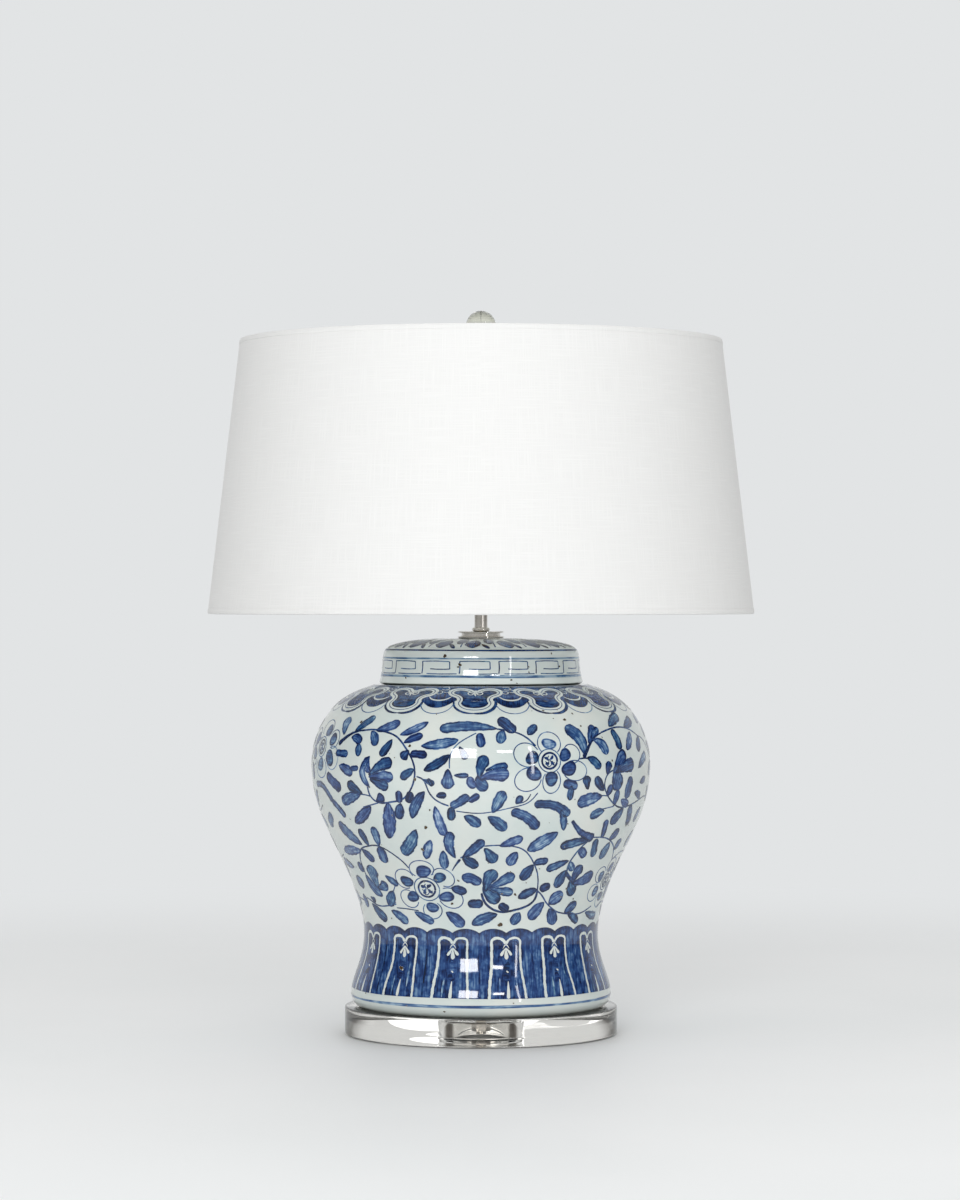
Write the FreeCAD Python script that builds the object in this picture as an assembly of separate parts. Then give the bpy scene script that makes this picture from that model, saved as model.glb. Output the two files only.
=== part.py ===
import FreeCAD, Part
import math
import os

# Ginger jar table lamp on a clear round slab. Millimetres, +Z up.
# The lamp stands on z = 0 and its axis is the Z axis. -Y is the front, and the
# cord's hole is at the back. Every height is stacked on the piece below it.

V = FreeCAD.Vector

# ---- clear slab and its pads
pad_t = 1.0            # bumper thickness
pad_r = 6.0
pad_ring_r = 106.0     # circle that the bumpers sit on
base_r = 127.0
base_t = 25.4
base_edge = 1.6        # polished top edge
bore_r = 5.5           # rod hole in slab, jar and lid
well_r = 27.0          # counterbore under the slab
well_d = 13.0

# ---- rod and its fasteners
pipe_r = 4.9
pipe_bore = 3.5
fit = 0.05             # radial running clearance of rings on the rod
washer_r = 15.0
washer_t = 1.6
lock_r = 9.5
lock_t = 1.4
lock_slot = 1.2
nut_flats = 16.0
nut_t = 5.0
pipe_below_nut = 2.0

# ---- jar
belly_r = 157.9
jar_h = 300.0          # slab to the seat of the neck
wall = 6.5
floor_t = 7.0
foot_ring_w = 9.0      # unglazed ring that the jar stands on
foot_recess = 3.0
neck_r = 84.0
neck_wall = 6.0
neck_rise = 28.6
foot_bulge = 0.7675    # share of the belly where the foot is widest
cord_h = 15.5          # cord hole above the slab
bush_hole_r = 6.0
bush_stem_r = 5.9
bush_bore_r = 3.6
bush_flange_r = 8.5
bush_out = 2.2         # flange proud of the foot's widest line
outer_rows = 26        # chords of the outer outline
inner_rows = 8

# ---- lid
lid_gap = 0.4          # collar foot above the jar's shoulder
lid_foot_r = 95.3
lid_corner_r = 91.8
lid_rise = 42.2        # collar foot to the flat on top
lid_wall = 5.0
lid_flat_r = 22.0

# ---- ring, bead and tube of the neck
ring_r = 21.6
ring_h = 6.0
ring_waist_r = 18.0
bead_r = 8.2
bead_h = 3.6
tube_r = 6.1
tube_h = 25.0

# ---- harp and its saddle
saddle_t = 1.6
saddle_w = 13.0
saddle_half = 15.0     # flat middle of the saddle, each side
saddle_arm_w = 6.0
tang_h = 8.0           # prong below its half-lap
leg_x = 33.5           # harp leg from the axis
wire_r = 1.75
prong_h = 22.0         # prong top above the saddle
lap_h = 7.0            # half-lap of leg and prong
lap_gap = 0.1
ferrule_r = 3.3
ferrule_gap = 0.08
ferrule_h = 15.0
harp_h = 225.5         # saddle to the top boss
leg_l = 20.0           # straight leg that the ferrule slides on
bow_out = 38.0         # degrees that the wire leans out above the leg
bow_in = 22.0          # degrees that the long side leans in
bow_top = 85.0         # degrees that the wire leans in at the boss
bow_r = 40.0           # bend above the leg
bow_top_r = 16.0       # bend at the top
boss_r = 8.0
boss_t = 3.6

# ---- swivel stud on the harp
stud_r = 3.1
stud_fit = 0.07
plate_r = 9.5
plate_t = 2.8
stud_rise = 9.5        # thread above the plate
rivet_h = 1.7          # headed end under the boss

# ---- socket
cap_r = 17.0
cap_h = 17.0
cap_lap = 3.0          # shell's foot below the cap's rim
shell_fit = 0.2
cap_neck_r = 9.4
set_screw_r = 1.4
shell_t = 0.6
shell_h = 42.0
sleeve_t = 0.7
sleeve_fit = 0.05
switch_h = 13.0        # switch axis above the shell's foot
core_h = 19.0
core_r = 14.6
cup_core_r = 10.4      # cup in the top of the core, for the contact
cup_core_d = 2.4
flat_x = 12.2          # flats that the terminal screws sit on
tap_x = 9.4            # inner end of their holes
tap_r = 1.5
screw_r = 13.7
screw_t = 0.45
knob_r = 5.6
knob_l = 12.0
stem_r = 2.2
stem_reach = 31.0

# ---- bulb
bulb_r = 29.5
bulb_len = 84.0        # glass above the metal cap
bulb_cap_r = 13.1
bulb_cap_h = 23.0
contact_h = 3.6        # centre contact above the floor of its cup
bulb_tip_h = 3.4       # bulb's tip below its metal cap
glass_t = 1.0

# ---- shade
shade_low_r = 255.0
shade_top_r = 225.0
shade_h = 255.2
shade_rise = 11.3      # top rim above the hub's seat
cloth_t = 0.5
liner_t = 0.6
rim_r = 1.5            # wire of the rim rings
trim_t = 0.4
trim_out = 4.5         # width of the rolled edge on the outside
trim_in = 7.0
spider_r = 1.3         # wire of the spider's arms
arm_clear = 0.1        # arm above the stud's plate, and around it in the trim
arm_flat = 16.0        # level run at the hub
arm_rise = 35.0        # degrees of the step up to the ring
arm_bend = 8.0
hub_r = 10.0
hub_t = 1.6
hub_fit = 0.15

# ---- finial
ball_r = 14.0
ball_sunk = 1.2        # ball in its cup
cup_r = 6.6
finial_base_h = 10.7

TOP = V(0, 0, 1)


def save(shape, name):
    shape.exportStep(os.path.join("parts", name + ".step"))


def cyl(r, h, z, x=0.0, y=0.0):
    return Part.makeCylinder(r, h, V(x, y, z))


def tube(r_out, r_in, h, z):
    return cyl(r_out, h, z).cut(cyl(r_in, h + 2.0, z - 1.0))


def edges_of(points):
    out = []
    for a, b in zip(points[:-1], points[1:]):
        out.append(Part.makeLine(V(a[0], 0, a[1]), V(b[0], 0, b[1])))
    return out


def chords(points, n, start=None, end=None):
    # a smooth outline through the points, as n short chords
    curve = Part.BSplineCurve()
    vecs = [V(r, 0, z) for r, z in points]
    if start:
        curve.interpolate(vecs, InitialTangent=V(start[0], 0, start[1]),
                          FinalTangent=V(end[0], 0, end[1]))
    else:
        curve.interpolate(vecs)
    a, b = curve.FirstParameter, curve.LastParameter
    found = [curve.value(a + (b - a) * i / n) for i in range(n + 1)]
    return [(v.x, v.z) for v in found]


def wire_ring(r, centre, normal, sides=8):
    # a wire's round section with few sides
    pts = []
    for k in range(sides):
        a = 2 * math.pi * (k + 0.5) / sides
        u, w = r * math.cos(a), r * math.sin(a)
        p = V(u, w, 0) if abs(normal.z) > 0.5 else V(0, u, w)
        pts.append(centre + p)
    return Part.makePolygon(pts + pts[:1])


def turn(edges):
    wire = Part.Wire(Part.__sortEdges__(edges))
    return Part.Face(wire).revolve(V(0, 0, 0), TOP, 360)


def turned(points):
    return turn(edges_of(points + points[:1]))


def rounded_ring(r_in, r_out, z0, z1, f):
    # a ring whose outer corners are rounded in two steps
    k = f * 0.3
    return turned([(r_in, z0), (r_out - f, z0), (r_out - k, z0 + k), (r_out, z0 + f),
                   (r_out, z1 - f), (r_out - k, z1 - k), (r_out - f, z1), (r_in, z1)])


# ------------------------------------------------------------ heights
base_z = pad_t
base_top = base_z + base_t
well_z = base_z + well_d
seat_z = base_top + jar_h
lid_z = seat_z + lid_gap
lid_top = lid_z + lid_rise
neck_top = seat_z + neck_rise
ring_top = lid_top + ring_h
bead_top = ring_top + bead_h
saddle_z = bead_top + tube_h
cap_z = saddle_z + saddle_t
pipe_top = cap_z + 9.0
bush_z = base_top + cord_h
socket_z = cap_z + cap_h - cap_lap
switch_z = socket_z + switch_h
core_top = socket_z + core_h
bulb_z = core_top - cup_core_d + contact_h     # bulb's tip on the socket's contact
bulb_cap_z = bulb_z + bulb_tip_h
bulb_glass_z = bulb_cap_z + bulb_cap_h
prong_top = saddle_z + prong_h
boss_z = saddle_z + harp_h
plate_z = boss_z + boss_t
hub_z = plate_z + plate_t
shade_top = hub_z + shade_rise
shade_z = shade_top - shade_h
finial_z = hub_z + hub_t
ball_z = finial_z + finial_base_h + ball_r - ball_sunk
washer_z = well_z - washer_t
lock_z = washer_z - lock_t
nut_z = lock_z - nut_t
pipe_z = nut_z - pipe_below_nut


# ------------------------------------------------------------ slab
def make_slab():
    k = base_edge * 0.3
    return turned([(well_r, base_z), (base_r, base_z), (base_r, base_top - base_edge),
                   (base_r - k, base_top - k), (base_r - base_edge, base_top),
                   (bore_r, base_top), (bore_r, well_z), (well_r, well_z)])


def make_pads():
    pads = []
    for k in range(4):
        a = math.radians(45 + 90 * k)
        x = pad_ring_r * math.cos(a)
        y = pad_ring_r * math.sin(a)
        pads.append(cyl(pad_r, pad_t, 0.0, x, y))
    return Part.makeCompound(pads)


def make_lock_washer(z):
    ring = tube(lock_r, pipe_r + fit, lock_t, z)
    slot = Part.makeBox(lock_r + 1.0, lock_slot, lock_t + 2.0,
                        V(0, -lock_slot / 2, z - 1.0))
    return ring.cut(slot)


def hexagon(flats, h, z):
    r = flats / math.sqrt(3.0)
    pts = []
    for k in range(7):
        a = math.radians(60 * k)
        pts.append(V(r * math.cos(a), r * math.sin(a), z))
    return Part.Face(Part.makePolygon(pts)).extrude(V(0, 0, h))


def make_nut(z):
    body = hexagon(nut_flats, nut_t, z)
    cone = cyl(nut_flats / 2 + 0.9, nut_t, z)
    return body.common(cone).cut(cyl(pipe_r + fit, nut_t + 2.0, z - 1.0))


# ------------------------------------------------------------ jar
def jar_stations():
    # radius as a share of the belly, height as a share of the jar
    shares = [(0.7125, 0.0),
              (0.7460, 0.0085),
              (0.7620, 0.0250),
              (foot_bulge, 0.0480),
              (0.7600, 0.0710),
              (0.7250, 0.1270),
              (0.6905, 0.2250),
              (0.7260, 0.3300),
              (0.8160, 0.4500),
              (0.9270, 0.5740),
              (0.9880, 0.6780),
              (1.0000, 0.7460),
              (0.9800, 0.8270),
              (0.9150, 0.8990),
              (0.8300, 0.9480),
              (0.7190, 0.9810)]
    return [(belly_r * r, base_top + jar_h * h) for r, h in shares]


def jar_outline():
    return jar_stations() + [(belly_r * 0.632, seat_z - 0.6)]


def inset(points, d):
    out = []
    for i in range(1, len(points) - 1):
        ax, az = points[i - 1]
        bx, bz = points[i + 1]
        tx, tz = bx - ax, bz - az
        n = math.hypot(tx, tz)
        out.append((points[i][0] - d * tz / n, points[i][1] + d * tx / n))
    return out


def make_jar():
    outer = jar_outline()
    low_z = base_top + foot_recess + floor_t
    neck_in = neck_r - neck_wall
    inner = [p for p in inset(outer, wall) if p[1] > low_z + 6.0][:-1]
    inner = chords(inner, inner_rows)
    low = inner[0]
    foot = outer[0]
    pts = chords(outer, outer_rows)
    pts += [(neck_r, seat_z), (neck_r, neck_top), (neck_in, neck_top),
            (neck_in, seat_z + 4.0)]
    pts += inner[::-1]
    pts += [(low[0] - 2.5, low_z + 2.0), (low[0] - 7.0, low_z), (bore_r, low_z),
            (bore_r, base_top + foot_recess),
            (foot[0] - foot_ring_w - foot_recess, base_top + foot_recess),
            (foot[0] - foot_ring_w, base_top)]
    return turned(pts).cut(rod_y(bush_hole_r, belly_r / 2, belly_r, bush_z))


def jar_block():
    # the jar's outer form as one solid, for hugging the bushing to it
    outer = chords(jar_outline(), outer_rows)
    return turned(outer + [(0.0, outer[-1][1]), (0.0, outer[0][1])])


def rod_y(r, y0, y1, z):
    return Part.makeCylinder(r, y1 - y0, V(0, y0, z), V(0, 1, 0))


def make_bushing():
    y_face = belly_r * foot_bulge
    flange = rod_y(bush_flange_r, y_face - 6.0, y_face + bush_out, bush_z)
    face = [e for e in flange.Edges if e.BoundBox.YLength < 0.01
            and e.BoundBox.YMin > y_face + bush_out - 0.1]
    flange = flange.makeChamfer(0.9, face)
    flange = flange.cut(jar_block())
    stem = rod_y(bush_stem_r, y_face - wall - 4.0, y_face, bush_z)
    both = flange.fuse(stem)
    return both.cut(rod_y(bush_bore_r, y_face - 20.0, y_face + 10.0, bush_z))


# ------------------------------------------------------------ lid
def make_lid():
    z_roof = neck_top
    shoulder = (lid_corner_r * 0.9542, lid_top - 8.6)
    dome = chords([(lid_flat_r, lid_top), (lid_corner_r * 0.49, lid_top - 0.6),
                   (lid_corner_r * 0.686, lid_top - 2.0),
                   (lid_corner_r * 0.8606, lid_top - 5.0), shoulder],
                  6, (1.0, 0.0), (0.82, -0.57))
    corner = chords([shoulder, (lid_corner_r * 0.9946, lid_top - 13.2),
                     (lid_corner_r, lid_top - 17.0)], 3, (0.82, -0.57), (0.06, -1.0))
    ledge_r = neck_r - 2 * neck_wall
    pts = dome + corner[1:]
    pts += [(lid_foot_r, lid_z + 1.0), (lid_foot_r - 1.0, lid_z),
            (lid_foot_r - lid_wall + 1.0, lid_z), (lid_foot_r - lid_wall, lid_z + 1.0),
            (lid_corner_r - lid_wall, z_roof), (ledge_r, z_roof),
            (ledge_r * 0.75, lid_top - 2.2 - lid_wall), (20.0, lid_top - lid_wall),
            (bore_r, lid_top - lid_wall), (bore_r, lid_top)]
    return turned(pts)


# ------------------------------------------------------------ neck
def make_check_ring():
    z = lid_top
    r = ring_r
    return turned([(pipe_r + fit, z), (r - 0.9, z), (r, z + 0.5), (r, z + 1.1),
                   (ring_waist_r, z + 1.9), (ring_waist_r, z + 4.3),
                   (r - 0.2, z + 5.0), (r - 0.2, z + 5.6), (r - 0.9, z + ring_h),
                   (pipe_r + fit, z + ring_h)])


def make_bead():
    return rounded_ring(pipe_r + fit, bead_r, ring_top, bead_top, 1.5)


# ------------------------------------------------------------ saddle, harp
def half_x(shape, side, inner, x, z0, z1):
    # keep the half of an upright wire at x that faces (or leaves) the axis
    w = 6.0
    x0 = x - lap_gap / 2 - w if inner else x + lap_gap / 2
    if side < 0:
        x0 = -x0 - w
    block = Part.makeBox(w, 2 * w, z1 - z0, V(x0, -w, z0))
    return shape.common(block)


def make_saddle():
    body = Part.makeBox(2 * saddle_half, saddle_w, saddle_t,
                        V(-saddle_half, -saddle_w / 2, saddle_z))
    root = saddle_half - 1.0
    for side in (-1, 1):
        pts = [V(side * root, 0, saddle_z), V(side * root, 0, saddle_z + saddle_t),
               V(side * (leg_x - 2.6), 0, saddle_z + 8.0),
               V(side * (leg_x - 1.4), 0, prong_top - lap_h - 5.0),
               V(side * (leg_x + 1.4), 0, prong_top - lap_h - 5.0),
               V(side * (leg_x + 1.2), 0, saddle_z + 5.6),
               V(side * (saddle_half + saddle_t), 0, saddle_z)]
        face = Part.Face(Part.makePolygon(pts + pts[:1]))
        arm = face.extrude(V(0, saddle_arm_w, 0))
        arm.translate(V(0, -saddle_arm_w / 2, 0))
        low_z = prong_top - lap_h - tang_h
        post = cyl(wire_r, lap_h + tang_h, low_z, side * leg_x)
        low = cyl(wire_r, tang_h, low_z, side * leg_x)
        up = half_x(post, side, True, leg_x, prong_top - lap_h, prong_top)
        body = body.fuse(arm).fuse(low).fuse(up)
    body = body.cut(cyl(pipe_r + fit, 6.0, saddle_z - 2.0))
    return body.removeSplitter()


def heading(deg):
    a = math.radians(deg)
    return math.sin(a), math.cos(a)


def arc_to(x, z, lean0, lean1, r, inward):
    # arc in the XZ plane from a lean (degrees outward of upright) to another
    s0, c0 = heading(lean0)
    s1, c1 = heading(lean1)
    sm, cm = heading((lean0 + lean1) / 2)
    k = 1.0 if inward else -1.0
    cx, cz = x - k * r * c0, z + k * r * s0
    mid = V(cx + k * r * cm, 0, cz - k * r * sm)
    end = V(cx + k * r * c1, 0, cz - k * r * s1)
    return Part.Arc(V(x, 0, z), mid, end).toShape(), end.x, end.z


def harp_path():
    z0 = prong_top + leg_l
    x1, z1 = boss_r - 2.0, boss_z + boss_t / 2
    so, co = heading(bow_out)
    si, ci = heading(bow_in)
    st, ct = heading(bow_top)
    # the long side's radius and straight close the loop on the boss
    dx = x1 - leg_x - bow_r * (1 - co) - bow_top_r * (ct - ci)
    dz = z1 - z0 - bow_r * so - bow_top_r * (st - si)
    run = (dz * (ci - co) - dx * (so + si)) / (ci * (ci - co) + si * (so + si))
    side_r = (dz - run * ci) / (so + si)
    e1, x, z = arc_to(leg_x, z0, 0.0, bow_out, bow_r, False)
    e2, x, z = arc_to(x, z, bow_out, -bow_in, side_r, True)
    e3 = Part.makeLine(V(x, 0, z), V(x - run * si, 0, z + run * ci))
    x, z = x - run * si, z + run * ci
    e4, x, z = arc_to(x, z, -bow_in, -bow_top, bow_top_r, True)
    return Part.Wire([e1, e2, e3, e4])


def make_harp():
    ring = wire_ring(wire_r, V(leg_x, 0, prong_top + leg_l), TOP)
    bow = harp_path().makePipeShell([ring], True, False)
    leg = cyl(wire_r, leg_l - 0.3, prong_top + 0.3, leg_x)
    lap = cyl(wire_r, lap_h, prong_top - lap_h + 0.3, leg_x)
    lap = half_x(lap, 1, False, leg_x, prong_top - lap_h, prong_top + 1.0)
    right = bow.fuse(leg).fuse(lap)
    left = right.mirror(V(0, 0, 0), V(1, 0, 0))
    boss = rounded_ring(stud_r + stud_fit, boss_r, boss_z, plate_z, 0.8)
    hole = cyl(stud_r + stud_fit, boss_t + 4.0, boss_z - 2.0)
    body = right.fuse(left).fuse(boss).cut(hole)
    return body.removeSplitter()


def make_ferrule(side):
    z = prong_top - lap_h - 1.0
    r_in = wire_r + ferrule_gap
    outer = turned([(r_in, z), (ferrule_r - 0.3, z), (ferrule_r, z + 0.4),
                    (ferrule_r, z + ferrule_h - 3.0), (ferrule_r - 0.9, z + ferrule_h),
                    (r_in, z + ferrule_h)])
    outer.translate(V(side * leg_x, 0, 0))
    return outer


def make_stud():
    lower = cyl(stud_r + 1.8, rivet_h - 0.1, boss_z - rivet_h)
    shank = cyl(stud_r, boss_t + rivet_h, boss_z - rivet_h)
    plate = cyl(plate_r, plate_t, plate_z)
    post = cyl(stud_r, plate_t + stud_rise, plate_z)
    tip = [e for e in post.Edges if e.BoundBox.ZMin > plate_z + plate_t + stud_rise - 0.1
           and e.BoundBox.ZLength < 0.01]
    post = post.makeChamfer(0.5, tip)
    return lower.fuse(shank).fuse(plate).fuse(post).removeSplitter()


# ------------------------------------------------------------ socket
def make_cap():
    z = cap_z
    r = cap_r
    w = 0.8
    outer = [(pipe_r + fit, z), (cap_neck_r - 0.4, z), (cap_neck_r, z + 0.4),
             (cap_neck_r, z + 4.6),
             (12.6, z + 6.4), (15.6, z + 9.0), (r + shell_t, z + 12.0),
             (r + shell_t, z + cap_h)]
    inner = [(r + shell_t - w, z + cap_h), (r + shell_t - w, z + 12.4),
             (15.0, z + 9.7), (12.2, z + 7.3), (9.6, z + 6.0), (8.0, z + 6.0),
             (8.0, z + 10.0), (pipe_r + fit, z + 10.0)]
    return turned(outer + inner).cut(set_screw_rod(set_screw_r + fit))


def set_screw_rod(r):
    return rod_y(r, cap_neck_r - 1.5, cap_neck_r + 1.9, cap_z + 2.4)


def make_set_screw():
    return set_screw_rod(set_screw_r)


def make_shell():
    z = socket_z + 0.2
    r = cap_r - shell_fit
    body = tube(r, r - shell_t, shell_h, z)
    slot = Part.makeCylinder(stem_r + 1.6, 10.0, V(0, -r - 4.0, switch_z), V(0, 1, 0))
    return body.cut(slot)


def make_sleeve():
    r = cap_r - shell_fit - shell_t - sleeve_fit
    body = tube(r, r - sleeve_t, shell_h - 3.0, socket_z + 1.2)
    slot = Part.makeCylinder(stem_r + 1.2, 10.0, V(0, -r - 4.0, switch_z), V(0, 1, 0))
    return body.cut(slot)


def make_core():
    z = socket_z + 1.6
    body = cyl(core_r, core_top - z, z)
    body = body.cut(cyl(cup_core_r, cup_core_d, core_top - cup_core_d))
    bore = Part.makeCylinder(stem_r + fit, 12.0, V(0, -core_r - 1.0, switch_z), V(0, 1, 0))
    body = body.cut(bore)
    for side in (-1, 1):
        x0 = flat_x if side > 0 else -flat_x - 6.0
        body = body.cut(Part.makeBox(6.0, 40.0, 9.0, V(x0, -20.0, z - 1.0)))
        body = body.cut(Part.makeCylinder(tap_r, 3.0, V(side * tap_x, 0, z + 4.0),
                                          V(side, 0, 0)))
    return body


def make_terminals():
    z = socket_z + 5.6
    screws = []
    for side in (-1, 1):
        shank = Part.makeCylinder(tap_r, flat_x - tap_x, V(side * tap_x, 0, z),
                                  V(side, 0, 0))
        head = Part.makeCylinder(2.8, 1.5, V(side * flat_x, 0, z), V(side, 0, 0))
        screws.append(shank.fuse(head).removeSplitter())
    return Part.makeCompound(screws)


def make_screw_shell():
    z = core_top
    h = socket_z + shell_h - 1.0 - z
    pts = [(10.8, z), (screw_r + screw_t, z), (screw_r + screw_t, z + h),
           (screw_r, z + h), (screw_r, z + screw_t), (10.8, z + screw_t)]
    return turned(pts)


def make_contact():
    z = core_top - cup_core_d
    tip = contact_h - 0.1
    foot = cyl(4.6, 0.6, z)
    dome = turned([(0.0, z), (2.6, z), (2.6, z + tip - 0.5), (2.0, z + tip), (0.0, z + tip)])
    return foot.fuse(dome).removeSplitter()


def make_stem():
    y0 = -core_r + 8.0
    return Part.makeCylinder(stem_r, stem_reach - 6.0 + y0, V(0, y0, switch_z),
                             V(0, -1, 0))


def make_knob():
    y0 = -(stem_reach - 8.0)
    knob = Part.makeCylinder(knob_r, knob_l, V(0, y0, switch_z), V(0, -1, 0))
    rim = [e for e in knob.Edges if e.BoundBox.YLength < 0.01]
    knob = knob.makeChamfer(0.8, rim)
    for k in range(8):
        a = math.radians(45 * k)
        x = (knob_r + 0.5) * math.cos(a)
        z = switch_z + (knob_r + 0.5) * math.sin(a)
        groove = Part.makeCylinder(0.9, knob_l + 2.0, V(x, y0 + 1.0, z), V(0, -1, 0))
        knob = knob.cut(groove)
    hole = Part.makeCylinder(stem_r, 2.0, V(0, y0, switch_z), V(0, -1, 0))
    return knob.cut(hole)


# ------------------------------------------------------------ bulb
def make_bulb_shell():
    z = bulb_cap_z
    r = bulb_cap_r
    t = 0.4
    return turned([(7.0, z), (r - 2.0, z), (r, z + 2.2), (r, z + bulb_cap_h),
                   (r - t, z + bulb_cap_h), (r - t, z + 2.4), (r - 2.2, z + t),
                   (7.0, z + t)])


def make_bulb_insulator():
    z = bulb_cap_z
    return turned([(0.0, z + 1.2), (7.0, z + 1.2), (7.0, z - 0.4), (5.0, z - 2.6),
                   (4.2, z - 2.6), (0.0, z - 2.6)])


def make_bulb_contact():
    z = bulb_z
    return turned([(0.0, z), (2.4, z), (3.6, z + 0.8), (0.0, z + 0.8)])


def glass_line(inset_t):
    z = bulb_glass_z
    r = bulb_r - inset_t
    n = bulb_cap_r + 0.4 - inset_t
    mid = bulb_glass_z + bulb_len - bulb_r
    pts = [(n, z + inset_t), (n + 0.3, z + 9.0), (n + 5.0, z + 23.0),
           (r - 2.3, z + 40.0), (r, mid), (r * 0.72, mid + r * 0.69), (0.0, mid + r)]
    return pts


def make_bulb_glass():
    outer = chords(glass_line(0.0), 11, (0.0, 1.0), (-1.0, 0.0))
    inner = chords(glass_line(glass_t), 7, (0.0, 1.0), (-1.0, 0.0))
    return turned(outer + inner[::-1] + [(inner[0][0], outer[0][1])])


# ------------------------------------------------------------ shade
lean = math.atan2(shade_low_r - shade_top_r, shade_h)
cl = math.cos(lean)
sl = math.sin(lean)


def slant(u, n):
    # u up the wall from the lower rim, n outward from the cloth's outer face
    r0 = shade_low_r - trim_t
    return (r0 - u * sl + n * cl, shade_z + trim_t + u * cl + n * sl)


wall_len = (shade_h - 2 * trim_t) / cl
ring_n = -(cloth_t + liner_t + rim_r)


def wall_band(u0, u1, n0, n1):
    return turned([slant(u0, n0), slant(u1, n0), slant(u1, n1), slant(u0, n1)])


def make_cloth():
    return wall_band(0.0, wall_len, 0.0, -cloth_t)


def make_liner():
    return wall_band(0.0, wall_len, -cloth_t, -cloth_t - liner_t)


def make_rim(u):
    r, z = slant(u, ring_n)
    pts = []
    for k in range(8):
        a = lean + math.pi * (k + 0.5) / 4
        pts.append((r + rim_r * math.cos(a), z + rim_r * math.sin(a)))
    return turned(pts)


def make_trim(low):
    t = trim_t
    inn = -(cloth_t + liner_t + 2 * rim_r)
    if low:
        s, e = 1.0, 0.0
    else:
        s, e = -1.0, wall_len
    pts = [slant(e + s * trim_out, t), slant(e, t), slant(e - s * t, 0.0),
           slant(e - s * t, inn), slant(e, inn - t), slant(e + s * trim_in, inn - t),
           slant(e + s * trim_in, inn), slant(e, inn), slant(e, 0.0),
           slant(e + s * trim_out, 0.0)]
    trim = turned(pts)
    if not low:
        # the arms reach the ring through holes in the inner turn
        r_ring, z_ring = slant(wall_len - rim_r, ring_n)
        for k in range(3):
            hole = Part.makeCylinder(spider_r + arm_clear, 3 * rim_r,
                                     V(r_ring - 3 * rim_r, 0, z_ring), V(1, 0, 0))
            hole.rotate(V(0, 0, 0), TOP, 90 + 120 * k)
            trim = trim.cut(hole)
    return trim


def arm_path(x0, z0, x1, z1):
    # out along the hub's level, up the drop, and out again to the ring
    up = math.radians(arm_rise)
    tan = arm_bend * math.tan(up / 2)
    run = (z1 - z0) / math.tan(up)
    xa = x0 + arm_flat
    pts = [(x0, z0), (xa - tan, z0),
           (xa + tan * math.cos(up), z0 + tan * math.sin(up)),
           (xa + run - tan * math.cos(up), z1 - tan * math.sin(up)),
           (xa + run + tan, z1), (x1, z1)]
    p = [V(x, 0, z) for x, z in pts]
    low = V(xa - tan + arm_bend * math.sin(up / 2), 0,
            z0 + arm_bend * (1 - math.cos(up / 2)))
    high = V(xa + run + tan - arm_bend * math.sin(up / 2), 0,
             z1 - arm_bend * (1 - math.cos(up / 2)))
    return Part.Wire([Part.makeLine(p[0], p[1]), Part.Arc(p[1], low, p[2]).toShape(),
                      Part.makeLine(p[2], p[3]), Part.Arc(p[3], high, p[4]).toShape(),
                      Part.makeLine(p[4], p[5])])


def make_spider():
    body = tube(hub_r, stud_r + hub_fit, hub_t, hub_z)
    r_ring, z_ring = slant(wall_len - rim_r, ring_n)
    x0 = hub_r - 2.0
    z0 = hub_z + spider_r + arm_clear
    ring = wire_ring(spider_r, V(x0, 0, z0), V(1, 0, 0))
    arm = arm_path(x0, z0, r_ring, z_ring).makePipeShell([ring], True, False)
    for k in range(3):
        turned_arm = arm.copy()
        turned_arm.rotate(V(0, 0, 0), TOP, 90 + 120 * k)
        body = body.fuse(turned_arm)
    body = body.cut(make_rim(wall_len - rim_r))
    hole = cyl(stud_r + hub_fit, hub_t + 4.0, hub_z - 2.0)
    return body.cut(hole).removeSplitter()


# ------------------------------------------------------------ finial
def make_finial_base():
    z = finial_z
    h = finial_base_h
    r_in = stud_r + stud_fit
    depth = stud_rise - hub_t + 0.6
    pts = [(r_in, z), (5.6, z), (5.8, z + 0.3), (5.8, z + 2.0), (4.7, z + 3.0),
           (4.6, z + h - 4.6), (cup_r, z + h - 1.4), (cup_r, z + h),
           (0.0, z + h), (0.0, z + depth), (r_in, z + depth)]
    body = turned(pts)
    return body.cut(make_ball())


def make_ball(r=ball_r, rows=14):
    pts = []
    for k in range(rows + 1):
        a = math.pi * k / rows - math.pi / 2
        pts.append((max(0.0, r * math.cos(a)), ball_z + r * math.sin(a)))
    return turned(pts)


# ------------------------------------------------------------ build
os.makedirs("parts", exist_ok=True)

save(make_pads(), "base_pads")
save(make_slab(), "acrylic_base")
save(tube(washer_r, pipe_r + fit, washer_t, washer_z), "bottom_washer")
save(make_lock_washer(lock_z), "bottom_lock_washer")
save(make_nut(nut_z), "bottom_nut")
save(tube(pipe_r, pipe_bore, pipe_top - pipe_z, pipe_z), "lamp_pipe")

save(make_jar(), "jar")
save(make_bushing(), "cord_bushing")
save(make_lid(), "jar_lid")
save(make_check_ring(), "check_ring")
save(make_bead(), "neck_bead")
save(tube(tube_r, pipe_r + fit, tube_h, bead_top), "neck_tube")

save(make_saddle(), "harp_saddle")
save(make_harp(), "harp")
save(make_ferrule(-1), "ferrule_left")
save(make_ferrule(1), "ferrule_right")
save(make_stud(), "harp_stud")

save(make_cap(), "socket_cap")
save(make_set_screw(), "cap_set_screw")
save(make_shell(), "socket_shell")
save(make_sleeve(), "insulating_sleeve")
save(make_core(), "socket_interior")
save(make_terminals(), "terminal_screws")
save(make_screw_shell(), "screw_shell")
save(make_contact(), "centre_contact")
save(make_stem(), "switch_stem")
save(make_knob(), "switch_knob")

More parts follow.
